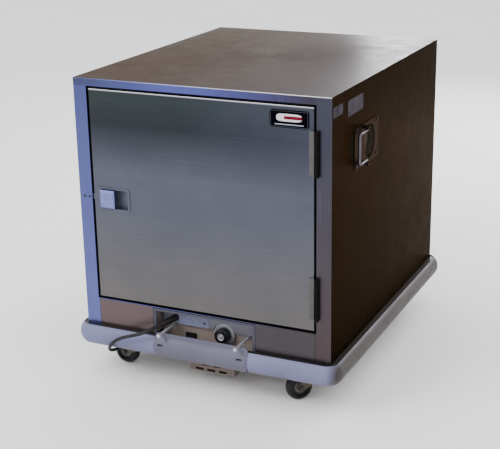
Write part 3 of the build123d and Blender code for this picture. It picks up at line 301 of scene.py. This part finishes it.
def shell_sheet():
    """Bent outer sheet, shaded by painted colour: a painted reflection on the top that pales and turns bluer
    to the right, painted dark brown shade on the right side, and the left side painted lighter, as if lit.
    """
    n = Nodes("shell_sheet")
    # painted reflection: the top's colour pales and turns bluer towards the right
    rightwards = n.ramp(n.axis("X"), -0.20, 0.32)
    top = n.mix(rightwards, (0.108, 0.082, 0.068), (0.135, 0.122, 0.140))
    across = n.facing("X")
    # painted shade: faces that look along +X, the right side, are painted dark brown
    colour = n.mix(n.ramp(across, 0.5, 0.9), top, (0.0215, 0.0178, 0.0132))
    # painted light: faces that look along -X, the left side, are painted a lighter grey
    colour = n.mix(n.ramp(across, -0.9, -0.5, 1.0, 0.0), colour, (0.100, 0.102, 0.122))
    return brushed_surface(n, colour, "y", 0.30, wear=0.15, clouds=0.15, Specular_Tint=SHADED_EDGE)


def door_sheet():
    """Door face in painted reflection tones: pale grey at the foot, bluer upwards, painted dark reflection
    bands near the top, a paler painted reflection towards the upper right, and a painted highlight along the
    top fold.
    """
    low, high = corners("door_skin")
    n = Nodes("door_sheet")
    height = n.ramp(n.axis("Z"), low[2], high[2])       # as a fraction of the door's height
    # painted reflection gradient: pale grey at the foot, bluer upwards
    colour = n.mix(n.ramp(height, 0.005, 0.486), (0.112, 0.106, 0.108), (0.076, 0.083, 0.108))
    # painted dark reflection bands near the top of the door
    colour = n.mix(n.ramp(height, 0.621, 0.843), colour, (0.025, 0.029, 0.035))
    colour = n.mix(n.ramp(height, 0.853, 0.968), colour, (0.031, 0.039, 0.042))
    # painted reflection: paler and bluer towards the upper right
    rightwards = n.ramp(n.axis("X"), -0.05, high[0], 0.0, 0.72)
    painted_reflection = n.maths("MULTIPLY", rightwards, n.ramp(height, 0.467, 0.949))
    colour = n.mix(painted_reflection, colour, (0.058, 0.062, 0.092))
    # painted highlight along the top fold
    colour = n.mix(n.ramp(height, 0.9925, 0.9948), colour, (0.30, 0.30, 0.33))
    return brushed_surface(n, colour, "x", 0.36, wear=0.25)


def frame_sheet():
    """Stiles and top rail in painted reflection tones, blue-violet on the left to dark grey on the right,
    with a painted highlight along the top edge; plain steel behind them.
    """
    n = Nodes("frame_sheet")
    height = n.ramp(n.axis("Z"), 0.15, 0.70)
    # painted reflections: the stiles run blue-violet on the left to dark grey on the right
    right = n.mix(height, (0.066, 0.052, 0.056), (0.044, 0.046, 0.066))
    left = n.mix(height, (0.100, 0.112, 0.290), (0.068, 0.080, 0.215))
    across = n.ramp(n.axis("X"), -0.10, 0.26)
    colour = n.mix(across, left, right)
    # painted reflections on the top rail: bluer on the left, darker towards the right corner
    rail = n.mix(n.ramp(n.axis("X"), -0.32, -0.08), (0.052, 0.060, 0.125), (0.078, 0.090, 0.290))
    rail = n.mix(n.ramp(n.axis("X"), -0.02, 0.27), rail, (0.042, 0.035, 0.058))
    opening_top = BODY_TOP - TOP_RAIL
    above_door = n.ramp(n.axis("Z"), opening_top - 0.001, opening_top + 0.002)
    short_of_corner = n.ramp(n.axis("X"), 0.280, 0.292, 1.0, 0.0)
    colour = n.mix(n.maths("MULTIPLY", above_door, short_of_corner), colour, rail)
    # painted highlight along the rounded top edge
    top_edge = n.ramp(n.axis("Z"), BODY_TOP - 0.0022, BODY_TOP - 0.0012)
    painted_edge_highlight = n.maths("MULTIPLY", top_edge, n.ramp(n.axis("X"), -0.25, 0.22))
    colour = n.mix(painted_edge_highlight, colour, (0.46, 0.46, 0.50))
    behind = n.ramp(n.axis("Y"), FRONT + 0.0016, FRONT + 0.0040)
    colour = n.mix(behind, colour, (0.085, 0.085, 0.095))
    return brushed_surface(n, colour, "z", 0.34, wear=0.8)


def base_sheet():
    """Panels beside the module in painted reflection tones: brownish on the left, dark grey on the right."""
    n = Nodes("base_sheet")
    # painted reflection tones, changing from left to right
    colour = n.mix(n.ramp(n.axis("X"), -0.1, 0.1), (0.108, 0.080, 0.082), (0.062, 0.056, 0.064))
    return brushed_surface(n, colour, "x", 0.34)


def module_sheet():
    """Module box: the face inside the bay is painted bright, as painted light against the bay's shade; the
    flanges in front are dimmer.
    """
    n = Nodes("module_sheet")
    # painted light: the face inside the bay is painted bright where the bay lies in shade
    inside = n.mix(n.ramp(n.axis("Z"), *MODULE_HEIGHT), (0.29, 0.235, 0.210), (0.25, 0.22, 0.24))
    colour = n.mix(n.ramp(n.axis("Y"), FRONT + 0.003, FRONT + 0.020), (0.042, 0.041, 0.060), inside)
    return brushed_surface(n, colour, "x", 0.36, metallic=0.15, Specular_IOR_Level=0.3)


def hinge_sheet():
    """Hinge leaves like the door; the knuckles beside it are painted near black as painted shade."""
    n = Nodes("hinge_sheet")
    door_edge = corners("door_skin")[1][0]
    # painted shade: the knuckles, past the door's edge, are painted near black and not metallic
    knuckle_painted_shade = n.ramp(n.axis("X"), door_edge, door_edge + 0.0015)
    blotch = n.noise(60.0, detail=4.0, rough=0.7)
    colour = n.mix(n.ramp(blotch, 0.4, 0.7, 0.0, 0.5), (0.090, 0.090, 0.088), (0.056, 0.055, 0.053))
    colour = n.mix(knuckle_painted_shade, colour, (0.0050, 0.0042, 0.0050))
    rough = n.ramp(n.noise(240.0, detail=3.0), 0.3, 0.7, 0.30, 0.45)
    relief = n.bump(n.noise(900.0, detail=2.0), 0.00005, 0.3)
    metallic = n.maths("SUBTRACT", 1.0, knuckle_painted_shade)
    return n.finish(colour, rough, relief, Metallic=metallic, Specular_IOR_Level=0.03)


def bright_metal(name, colour, roughness, metallic=1.0, edge=(1.0, 1.0, 1.0)):
    """Small metal parts: darker grime in patches, fine rubbing marks."""
    n = Nodes(name)
    patch = n.ramp(n.noise(70.0, detail=5.0, rough=0.7), 0.45, 0.75, 0.0, 0.40)
    palest_grime = (0.10, 0.085, 0.07)
    grime = tuple(min(palest, part * 0.5) for palest, part in zip(palest_grime, colour))
    tone = n.mix(patch, colour, grime)
    rough = n.ramp(n.noise(240.0, detail=3.0), 0.3, 0.7, roughness - 0.06, roughness + 0.12)
    relief = n.bump(n.noise(900.0, detail=2.0), 0.00005, 0.3)
    return n.finish(tone, rough, relief, Metallic=metallic, Specular_Tint=edge)


def handle_plate_steel():
    """Flat plate painted dark as painted shade, like the body's side, with a dish painted paler as painted
    light: the dish lies further in than the body's side.
    """
    n = Nodes("handle_plate_steel")
    dish = n.ramp(n.maths("ABSOLUTE", n.axis("X")), BODY_SIDE - 0.004, BODY_SIDE + 0.001, 1.0, 0.0)
    patch = n.ramp(n.noise(70.0, detail=5.0, rough=0.7), 0.45, 0.75, 0.0, 0.35)
    # painted shade: the flat plate is dark like the body's side
    colour = n.mix(patch, (0.040, 0.030, 0.028), (0.024, 0.018, 0.016))
    # painted light: the dish is painted paler
    colour = n.mix(dish, colour, (0.14, 0.12, 0.10))
    rough = n.ramp(n.noise(240.0, detail=3.0), 0.3, 0.7, 0.32, 0.48)
    relief = n.bump(n.noise(900.0, detail=2.0), 0.00005, 0.3)
    return n.finish(colour, rough, relief, Metallic=1.0, Specular_Tint=SHADED_EDGE)


def zinc(name, colour):
    """Dull zinc plate: spangle cells, a little rust at random."""
    n = Nodes(name)
    cells = n.add("ShaderNodeTexVoronoi")
    cells.inputs["Scale"].default_value = 140.0
    n.feed(cells.inputs["Vector"], n.place)
    cell = n.add("ShaderNodeSeparateColor")
    n.feed(cell.inputs[0], cells.outputs["Color"])
    spangle = n.ramp(cell.outputs[0], 0.0, 1.0, 0.0, 0.4)
    tone = n.mix(spangle, colour, tuple(part * 1.5 for part in colour))
    rust = n.ramp(n.noise(55.0, detail=6.0, rough=0.75), 0.62, 0.72, 0.0, 0.55)
    tone = n.mix(rust, tone, (0.10, 0.05, 0.025))
    rough = n.ramp(n.noise(120.0, detail=3.0), 0.3, 0.7, 0.34, 0.58)
    relief = n.bump(n.noise(500.0, detail=3.0), 0.0001, 0.3)
    return n.finish(tone, rough, relief, Metallic=0.85)


def moulded(name, colour, roughness=0.45, coat=0.0):
    """Moulded plastic: pebbled skin, pale dust where it faces up, rubbed patches."""
    n = Nodes(name)
    blotch = n.noise(45.0, detail=4.0, rough=0.6)
    lifted = n.ramp(n.facing("Z"), 0.3, 1.0)
    dusty = n.maths("MULTIPLY", lifted, n.ramp(blotch, 0.3, 0.7, 0.0, 0.25))
    tone = n.mix(dusty, colour, (0.12, 0.115, 0.11))
    rubbed = tuple(part * 1.8 + 0.01 for part in colour)
    tone = n.mix(n.ramp(blotch, 0.45, 0.7, 0.0, 0.25), tone, rubbed)
    rough = n.ramp(blotch, 0.3, 0.7, roughness - 0.08, roughness + 0.14)
    relief = n.bump(n.noise(1400.0, detail=2.0), 0.00012, 0.35)
    return n.finish(tone, rough, relief, Coat_Weight=coat, Coat_Roughness=0.15, Specular_IOR_Level=0.3)


def bumper_vinyl(name, front, side):
    """Pale vinyl: long scuffs along the run, dirt at the foot; the faces that look along X take a painted
    shade colour, darker still as painted shade along their lower edge.
    """
    strip_foot = corners("bumper_strip")[0][2]
    n = Nodes(name)
    darker = tuple(part * 0.86 for part in front)
    tone = n.mix(n.ramp(n.noise(7.0, detail=4.0), 0.35, 0.65), darker, front)
    # painted shade: faces that look along X take the side colour, a shaded copy of the front
    sideways = n.ramp(n.facing("X"), 0.3, 0.8)
    tone = n.mix(sideways, tone, side)
    scuff = n.noise(60.0, (0.18, 0.18, 2.2), detail=6.0, rough=0.75)
    tone = n.mix(n.ramp(scuff, 0.60, 0.74, 0.0, 0.35), tone, (0.075, 0.065, 0.065))
    foot = n.ramp(n.axis("Z"), strip_foot + 0.001, strip_foot + 0.022, 0.5, 0.0)
    dirt = n.maths("MULTIPLY", foot, n.ramp(n.noise(38.0, detail=5.0), 0.35, 0.65))
    tone = n.mix(dirt, tone, (0.085, 0.062, 0.055))
    # painted shade along the lower edge of the faces that look along X
    lower_edge_shade = n.ramp(n.axis("Z"), strip_foot + 0.009, strip_foot + 0.019, 0.85, 0.0)
    tone = n.mix(n.maths("MULTIPLY", sideways, lower_edge_shade), tone, (0.028, 0.024, 0.023))
    rough = n.ramp(scuff, 0.35, 0.7, 0.42, 0.64)
    relief = n.bump(n.noise(700.0, detail=2.0), 0.0001, 0.25)
    relief = n.bump(scuff, 0.0003, 0.2, relief)
    return n.finish(tone, rough, relief, Specular_IOR_Level=0.3)


def cord_rubber():
    """Black flexible sheath with a dull sheen and pale scuffs."""
    n = Nodes("cord_rubber")
    scuff = n.ramp(n.noise(160.0, detail=5.0, rough=0.7), 0.58, 0.75, 0.0, 0.35)
    tone = n.mix(scuff, (0.0045, 0.0045, 0.006), (0.035, 0.035, 0.038))
    rough = n.ramp(n.noise(90.0, detail=3.0), 0.3, 0.7, 0.42, 0.62)
    relief = n.bump(n.noise(1100.0, detail=2.0), 0.00008, 0.3)
    return n.finish(tone, rough, relief, Specular_IOR_Level=0.3)


def wheel_material(name, node):
    """Black tread, dusty at its rolling face, round a dark hub with a paler ring.

    The ramps run over the distance from the wheel's centre.
    """
    low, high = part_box(node)
    n = Nodes(name)
    from_centre = n.add("ShaderNodeVectorMath", operation="DISTANCE")
    n.feed(from_centre.inputs[0], n.place)
    from_centre.inputs[1].default_value = (low + high) / 2
    distance = from_centre.outputs["Value"]
    hub = n.ramp(distance, 0.0200, 0.0215, 1.0, 0.0)
    blotch = n.noise(80.0, detail=5.0, rough=0.7)
    tread = n.mix(n.ramp(blotch, 0.5, 0.7, 0.0, 0.4), (0.004, 0.004, 0.005), (0.018, 0.016, 0.014))
    rolling = n.ramp(distance, 0.0305, 0.0335, 0.0, 0.25)
    tread = n.mix(n.maths("MULTIPLY", rolling, n.ramp(blotch, 0.35, 0.6)), tread, (0.05, 0.043, 0.036))
    ring = n.maths("MULTIPLY", n.ramp(distance, 0.0125, 0.0135), n.ramp(distance, 0.0160, 0.0170, 1.0, 0.0))
    disc = n.mix(ring, (0.008, 0.008, 0.011), (0.11, 0.105, 0.09))
    tone = n.mix(hub, tread, disc)
    rough = n.ramp(blotch, 0.3, 0.7, 0.42, 0.68)
    relief = n.bump(n.noise(800.0, detail=3.0), 0.00012, 0.35)
    return n.finish(tone, rough, relief, Specular_IOR_Level=0.25)


def insulation_fibre():
    n = Nodes("insulation_fibre")
    fibre = n.noise(420.0, (1, 0.2, 1), detail=5.0, rough=0.8, distortion=1.5)
    tone = n.mix(fibre, (0.55, 0.45, 0.18), (0.86, 0.78, 0.50))
    return n.finish(tone, 0.95, n.bump(fibre, 0.0008, 0.6))


def lamp_lens():
    n = Nodes("lamp_lens")
    facets = n.noise(900.0, detail=1.0)
    tone = n.mix(n.ramp(facets, 0.4, 0.6), (0.030, 0.018, 0.022), (0.060, 0.034, 0.036))
    return n.finish(tone, 0.12, n.bump(facets, 0.0001, 0.3), Coat_Weight=0.4)


def plug_material():
    """Black moulded body with bright blades: the blades are past the body's end face."""
    blade_length = 0.020
    body_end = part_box("mains_plug")[1][0] - blade_length
    n = Nodes("plug_material")
    blade = n.ramp(n.axis("X"), body_end - 0.0002, body_end + 0.0002)
    grain = n.noise(1300.0, detail=2.0)
    blotch = n.noise(60.0, detail=4.0)
    black = n.mix(n.ramp(blotch, 0.4, 0.7, 0.0, 0.4), (0.014, 0.014, 0.015), (0.06, 0.06, 0.06))
    tone = n.mix(blade, black, (0.72, 0.66, 0.46))
    rough = n.ramp(blotch, 0.3, 0.7, 0.38, 0.58)
    return n.finish(tone, rough, n.bump(grain, 0.0001, 0.3), Metallic=blade)


def badge_material():
    """Black enamel, a hairline border, a plain pale lozenge with a dark red bar, a rule below."""
    border_half = (0.0432, 0.0170)
    hairline = 0.0006
    lozenge_half = (0.030, 0.0085)
    lozenge_up = 0.0030
    bar_half_height = 0.0036
    bar_left = -0.012
    rule_half = (0.034, 0.0011)
    rule_down = 0.0122
    low, high = corners("badge")
    n = Nodes("badge_material")
    right = n.maths("SUBTRACT", n.axis("X"), (low[0] + high[0]) / 2)
    up = n.maths("SUBTRACT", n.axis("Z"), (low[2] + high[2]) / 2)
    beside = n.maths("ABSOLUTE", right)
    above = n.maths("ABSOLUTE", up)

    def outside(margin):
        past_side = n.maths("GREATER_THAN", beside, border_half[0] + margin)
        past_top = n.maths("GREATER_THAN", above, border_half[1] + margin)
        return n.maths("MAXIMUM", past_side, past_top)

    border = n.maths("SUBTRACT", outside(0.0), outside(hairline))
    from_lozenge = n.maths("ABSOLUTE", n.maths("SUBTRACT", up, lozenge_up))
    round_x = n.maths("POWER", n.maths("DIVIDE", beside, lozenge_half[0]), 4.0)
    round_z = n.maths("POWER", n.maths("DIVIDE", from_lozenge, lozenge_half[1]), 4.0)
    lozenge = n.maths("LESS_THAN", n.maths("ADD", round_x, round_z), 1.0)
    bar = n.maths("LESS_THAN", from_lozenge, bar_half_height)
    bar = n.maths("MULTIPLY", bar, n.maths("GREATER_THAN", right, bar_left))
    bar = n.maths("MULTIPLY", bar, lozenge)
    from_rule = n.maths("ABSOLUTE", n.maths("ADD", up, rule_down))
    rule = n.maths("LESS_THAN", from_rule, rule_half[1])
    rule = n.maths("MULTIPLY", rule, n.maths("LESS_THAN", beside, rule_half[0]))
    blotch = n.noise(120.0, detail=4.0)
    black = n.mix(n.ramp(blotch, 0.4, 0.7, 0.0, 0.5), (0.0012, 0.0012, 0.0030), (0.004, 0.004, 0.006))
    tone = n.mix(n.maths("MULTIPLY", border, 0.5), black, (0.15, 0.15, 0.18))
    tone = n.mix(lozenge, tone, (0.55, 0.50, 0.54))
    tone = n.mix(bar, tone, (0.12, 0.006, 0.018))
    tone = n.mix(rule, tone, (0.26, 0.28, 0.34))
    rough = n.ramp(blotch, 0.3, 0.7, 0.34, 0.50)
    relief = n.bump(n.maths("MAXIMUM", border, lozenge), 0.0002, 0.4)
    return n.finish(tone, rough, relief, Specular_IOR_Level=0.0)


def label_material(name, ground, rule):
    """Printed foil or paper with plain level rules, no lettering."""
    rule_pitch = 0.005
    n = Nodes(name)
    fine = n.noise(800.0, detail=2.0)
    blotch = n.noise(45.0, detail=5.0, rough=0.7)
    wave = n.maths("SINE", n.maths("MULTIPLY", n.axis("Z"), math.tau / rule_pitch))
    rules = n.maths("GREATER_THAN", wave, 0.86)
    tone = n.mix(n.maths("MULTIPLY", rules, 0.45), ground, rule)
    tone = n.mix(n.ramp(blotch, 0.45, 0.75, 0.0, 0.4), tone, tuple(part * 0.6 for part in rule))
    rough = n.ramp(blotch, 0.3, 0.7, 0.35, 0.6)
    return n.finish(tone, rough, n.bump(fine, 0.00004, 0.3), Specular_IOR_Level=0.03)


# ---- pieces that only the picture needs ------------------------------------------------------

PLATE_CORNER = 0.002
DATA_PLATE_X = -0.045
DATA_PLATE_Z = 0.164
DATA_PLATE_SIZE = (0.084, 0.0255, 0.0011)
DATA_PLATE_OUT = 0.0006                 # its middle, in front of the panel
LABEL_THICKNESS = 0.0005
LABEL_OUT = 0.0002                      # its middle, out from the body's side
SIDE_LABELS = {                         # middle behind the front, middle below the top, width, height
    "side_label_wide": (0.146, 0.0450, 0.098, 0.0365),
    "side_label_small": (0.036, 0.0355, 0.058, 0.0240),
}


def plate_piece(name, centre, size, along, material):
    """A thin bevelled plate. size is (width, height, thickness), and the width runs along x or y."""
    width, height, thickness = size
    if along == "x":
        scale = (width, thickness, height)
        through = 1
    else:
        scale = (thickness, width, height)
        through = 0
    mesh = bpy.data.meshes.new(name)
    bm = bmesh.new()
    bmesh.ops.create_cube(bm, size=1.0)
    bmesh.ops.scale(bm, vec=scale, verts=bm.verts)
    short = [e for e in bm.edges if abs((e.verts[0].co - e.verts[1].co)[through]) > thickness * 0.9]
    bmesh.ops.bevel(bm, geom=short, offset=PLATE_CORNER, segments=4, affect="EDGES")
    sharp = [e for e in bm.edges if e.calc_face_angle(0) > 0.8]
    bmesh.ops.bevel(bm, geom=sharp, offset=thickness * 0.25, segments=2, affect="EDGES")
    bmesh.ops.translate(bm, vec=centre, verts=bm.verts)
    bm.to_mesh(mesh)
    bm.free()
    piece = bpy.data.objects.new(name, mesh)
    bpy.context.collection.objects.link(piece)
    mesh.materials.append(material)
    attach(piece, "cabinet")


def make_labels():
    """The data plate on the module and two labels high on the right side."""
    foil = label_material("plate_foil", (0.19, 0.20, 0.30), (0.07, 0.07, 0.12))
    # the side labels are painted near black as painted shade, like the body's side
    paper = label_material("label_paper", (0.021, 0.015, 0.026), (0.010, 0.007, 0.009))
    panel_front = corners("control_panel")[0][1]
    plate_place = (DATA_PLATE_X, panel_front - DATA_PLATE_OUT, DATA_PLATE_Z)
    plate_piece("data_plate", plate_place, DATA_PLATE_SIZE, "x", foil)
    for name, (behind_front, below_top, width, height) in SIDE_LABELS.items():
        place = (BODY_SIDE + LABEL_OUT, FRONT + behind_front, BODY_TOP - below_top)
        plate_piece(name, place, (width, height, LABEL_THICKNESS), "y", paper)


def make_knob_cap(material):
    """Bright disc set into the knob's face, with a raised middle."""
    low, high = corners("thermostat_knob")
    centre_x = (low[0] + high[0]) / 2
    centre_z = (low[2] + high[2]) / 2
    face_y = low[1]
    middle_depth = -0.0010
    profile = (    # radius, depth behind the knob's face
        (0.0032, -0.0008),
        (0.0040, 0.0004),
        (0.0072, 0.0002),
        (0.0088, -0.0006),
        (0.0088, 0.0012),
    )
    mesh = bpy.data.meshes.new("knob_cap")
    bm = bmesh.new()
    rings = []
    around = 40
    for radius, depth in profile:
        ring = []
        for step in range(around):
            angle = step * math.tau / around
            x = centre_x + radius * math.cos(angle)
            z = centre_z + radius * math.sin(angle)
            ring.append(bm.verts.new((x, face_y + depth, z)))
        rings.append(ring)
    middle = bm.verts.new((centre_x, face_y + middle_depth, centre_z))
    back = bm.verts.new((centre_x, face_y + profile[-1][1], centre_z))
    for step in range(around):
        following = (step + 1) % around
        bm.faces.new((middle, rings[0][step], rings[0][following]))
        for inner, outer in zip(rings, rings[1:]):
            bm.faces.new((inner[step], outer[step], outer[following], inner[following]))
        bm.faces.new((rings[-1][step], back, rings[-1][following]))
    bmesh.ops.recalc_face_normals(bm, faces=bm.faces)
    bm.to_mesh(mesh)
    bm.free()
    cap = bpy.data.objects.new("knob_cap", mesh)
    bpy.context.collection.objects.link(cap)
    mesh.materials.append(material)
    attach(cap, "knob")


def make_cord_tie(material):
    """A flat strap round one side of the coil."""
    x = COIL_CENTRE[0]
    y = COIL_CENTRE[1] - sum(COIL_RADII) / 2
    half_width = 0.005
    half_y = 0.0098
    half_z = 0.0134
    middle_z = 0.0138
    corner = 0.004
    mesh = bpy.data.meshes.new("cord_tie")
    bm = bmesh.new()
    outline = []
    for side_y, side_z, start in ((1, 1, 0), (-1, 1, 90), (-1, -1, 180), (1, -1, 270)):
        for step in range(4):
            angle = math.radians(start + step * 30)
            across = side_y * (half_y - corner) + corner * math.cos(angle)
            up = middle_z + side_z * (half_z - corner) + corner * math.sin(angle)
            outline.append((across, up))
    rings = []
    for offset in (-half_width, half_width):
        rings.append([bm.verts.new((x + offset, y + across, up)) for across, up in outline])
    count = len(outline)
    for i in range(count):
        j = (i + 1) % count
        bm.faces.new((rings[0][i], rings[0][j], rings[1][j], rings[1][i]))
    bm.to_mesh(mesh)
    bm.free()
    tie = bpy.data.objects.new("cord_tie", mesh)
    bpy.context.collection.objects.link(tie)
    mesh.materials.append(material)
    thick = tie.modifiers.new("thick", "SOLIDIFY")
    thick.thickness = 0.0012
    thick.offset = -1
    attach(tie, "cabinet")


# ---- what each node is made of ----------------------------------------------------------------
WHEELS = ("wheel_front_left", "wheel_front_right", "wheel_rear_left", "wheel_rear_right")
CASTER_METAL = ("caster_fork_front_left", "caster_fork_front_right", "caster_fork_rear_left",
                "caster_fork_rear_right", "caster_plate_front_left", "caster_plate_front_right")


def paint(node, material):
    materials = NODES[node].data.materials
    materials.clear()
    materials.append(material)


def paint_all(nodes, material):
    for node in nodes:
        paint(node, material)


def dress_sheets():
    """Every sheet of the body, the door and the module."""
    paint_all(("outer_shell", "rear_panel"), shell_sheet())
    paint("face_frame", frame_sheet())
    paint("door_skin", door_sheet())
    paint("base_panels", base_sheet())
    paint("module_housing", module_sheet())
    panel = brushed("panel_sheet", (0.150, 0.145, 0.180), (0.150, 0.145, 0.185), MODULE_HEIGHT,
                    "x", 0.36, metallic=0.15)
    paint("control_panel", panel)
    louvres = brushed("louvre_sheet", (0.105, 0.078, 0.070), (0.12, 0.09, 0.08), MODULE_HEIGHT,
                      "x", 0.36, metallic=0.3)
    paint("louvred_cover", louvres)
    inner = brushed("liner_sheet", (0.24, 0.24, 0.24), (0.28, 0.28, 0.28), WHOLE_HEIGHT, "y", 0.34, wear=0.6)
    paint_all(("inner_liner", "door_inner_panel", "slide_uprights", "pan_slides", "water_pan"), inner)


def dress_bumper():
    """The strip round the base, its cover plate and the metal behind them."""
    # the last colour is painted shade for the bumper's faces that look along X
    paint("bumper_strip", bumper_vinyl("bumper_vinyl", (0.139, 0.144, 0.258), (0.028, 0.021, 0.019)))
    paint("bumper_cover_plate", bumper_vinyl("cover_paint", (0.092, 0.090, 0.130), (0.09, 0.08, 0.11)))
    # the zinc is painted near black as painted shade: the rail's top shows as a shadow line between the body
    # and the bumper
    galvanised = zinc("galvanised", (0.034, 0.031, 0.031))
    paint_all(("bumper_rail", "chassis_base"), galvanised)


def dress_hardware():
    """Hinges, latch, handles, rods, casters and fasteners."""
    bright = bright_metal("bright_steel", (0.42, 0.43, 0.48), 0.30, metallic=0.5)
    paint_all(("retaining_rods", "hinge_pins", "latch_tongue", "latch_strike"), bright)
    fastener = bright_metal("fastener_steel", (0.050, 0.047, 0.050), 0.40, metallic=0.9, edge=SHADED_EDGE)
    paint_all(("panel_screws", "caster_bolts", "axle_front_left", "axle_front_right", "axles_rear"), fastener)
    paint_all(("hinge_frame_leaves", "hinge_door_leaves"), hinge_sheet())
    paint("latch_lever", bright_metal("latch_chrome", (0.160, 0.173, 0.395), 0.28))
    paint("latch_body", bright_metal("latch_pocket", (0.050, 0.055, 0.085), 0.36, metallic=0.2))
    paint_all(("handle_plate_left", "handle_plate_right"), handle_plate_steel())
    bail = bright_metal("handle_bail_steel", (0.105, 0.092, 0.110), 0.30, edge=SHADED_EDGE)
    paint_all(("handle_bail_left", "handle_bail_right"), bail)
    paint_all(CASTER_METAL, zinc("fork_zinc", (0.075, 0.062, 0.045)))
    for node in WHEELS:
        paint(node, wheel_material("tread_" + node, node))


def dress_module():
    """Controls, heater, blower and what is hidden in the walls."""
    paint_all(("switch_bezel", "power_switch"), moulded("black_plastic", (0.005, 0.005, 0.006)))
    paint("thermostat_knob", moulded("knob_plastic", (0.004, 0.004, 0.005), 0.32, coat=0.15))
    paint("thermostat_dial", bright_metal("dial_metal", (0.34, 0.35, 0.41), 0.34, metallic=0.3))
    paint("badge", badge_material())
    paint("mains_plug", plug_material())
    paint("door_gasket", moulded("gasket_rubber", (0.008, 0.008, 0.008), 0.6))
    fibre = insulation_fibre()
    paint_all(("wall_insulation", "door_insulation"), fibre)
    paint("pilot_lamp", lamp_lens())
    paint("heating_element", bright_metal("heater_steel", (0.12, 0.11, 0.10), 0.4))
    paint("blower_motor", moulded("motor_paint", (0.03, 0.03, 0.033), 0.4))
    paint("fan_wheel", bright_metal("fan_aluminium", (0.4, 0.4, 0.41), 0.3))


# ---- room ------------------------------------------------------------------------------------

def make_floor():
    """A pale floor that runs past the horizon of the picture."""
    mesh = bpy.data.meshes.new("floor")
    reach = 30.0
    outline = [(-reach, -reach, 0), (reach, -reach, 0), (reach, reach, 0), (-reach, reach, 0)]
    mesh.from_pydata(outline, [], [(0, 1, 2, 3)])
    floor = bpy.data.objects.new("floor", mesh)
    bpy.context.collection.objects.link(floor)
    n = Nodes("floor_paint")
    cloud = n.noise(1.5, detail=3.0)
    tone = n.mix(cloud, (0.90, 0.90, 0.90), (0.93, 0.93, 0.93))
    mesh.materials.append(n.finish(tone, 0.85))


def area_light(name, place, target, size, power, colour=(1, 1, 1)):
    data = bpy.data.lights.new(name, "AREA")
    data.shape = "RECTANGLE"
    data.size, data.size_y = size
    data.energy = power
    data.color = colour
    light = bpy.data.objects.new(name, data)
    bpy.context.collection.objects.link(light)
    light.location = place
    aim = Vector(target) - Vector(place)
    light.rotation_euler = aim.to_track_quat("-Z", "Y").to_euler()


def make_light():
    """A white room, a lamp at the front left, and two behind that shine on the top."""
    world = bpy.data.worlds.new("studio")
    world.use_nodes = True
    sky = world.node_tree.nodes["Background"]
    sky.inputs["Color"].default_value = (1.0, 1.0, 1.0, 1.0)
    sky.inputs["Strength"].default_value = 1.6
    bpy.context.scene.world = world
    area_light("key", (-1.6, -2.6, 2.6), (0, -0.2, 0.4), (1.6, 1.6), 90, (0.96, 0.98, 1.0))
    area_light("back", (1.2, 2.8, 1.5), (0.1, 0.2, 0.75), (1.4, 0.9), 60)
    area_light("window", (-0.70, 3.3, 1.28), (0.25, 0.3, 0.75), (0.35, 0.35), 22, (0.84, 0.92, 1.0))


rubber = cord_rubber()
make_cord(rubber)
paint("strain_relief", rubber)
dress_sheets()
dress_bumper()
dress_hardware()
dress_module()
make_labels()
make_knob_cap(bright_metal("knob_insert", (0.42, 0.43, 0.46), 0.25, metallic=0.5))
make_cord_tie(moulded("strap_plastic", (0.005, 0.005, 0.006)))
make_floor()
make_light()
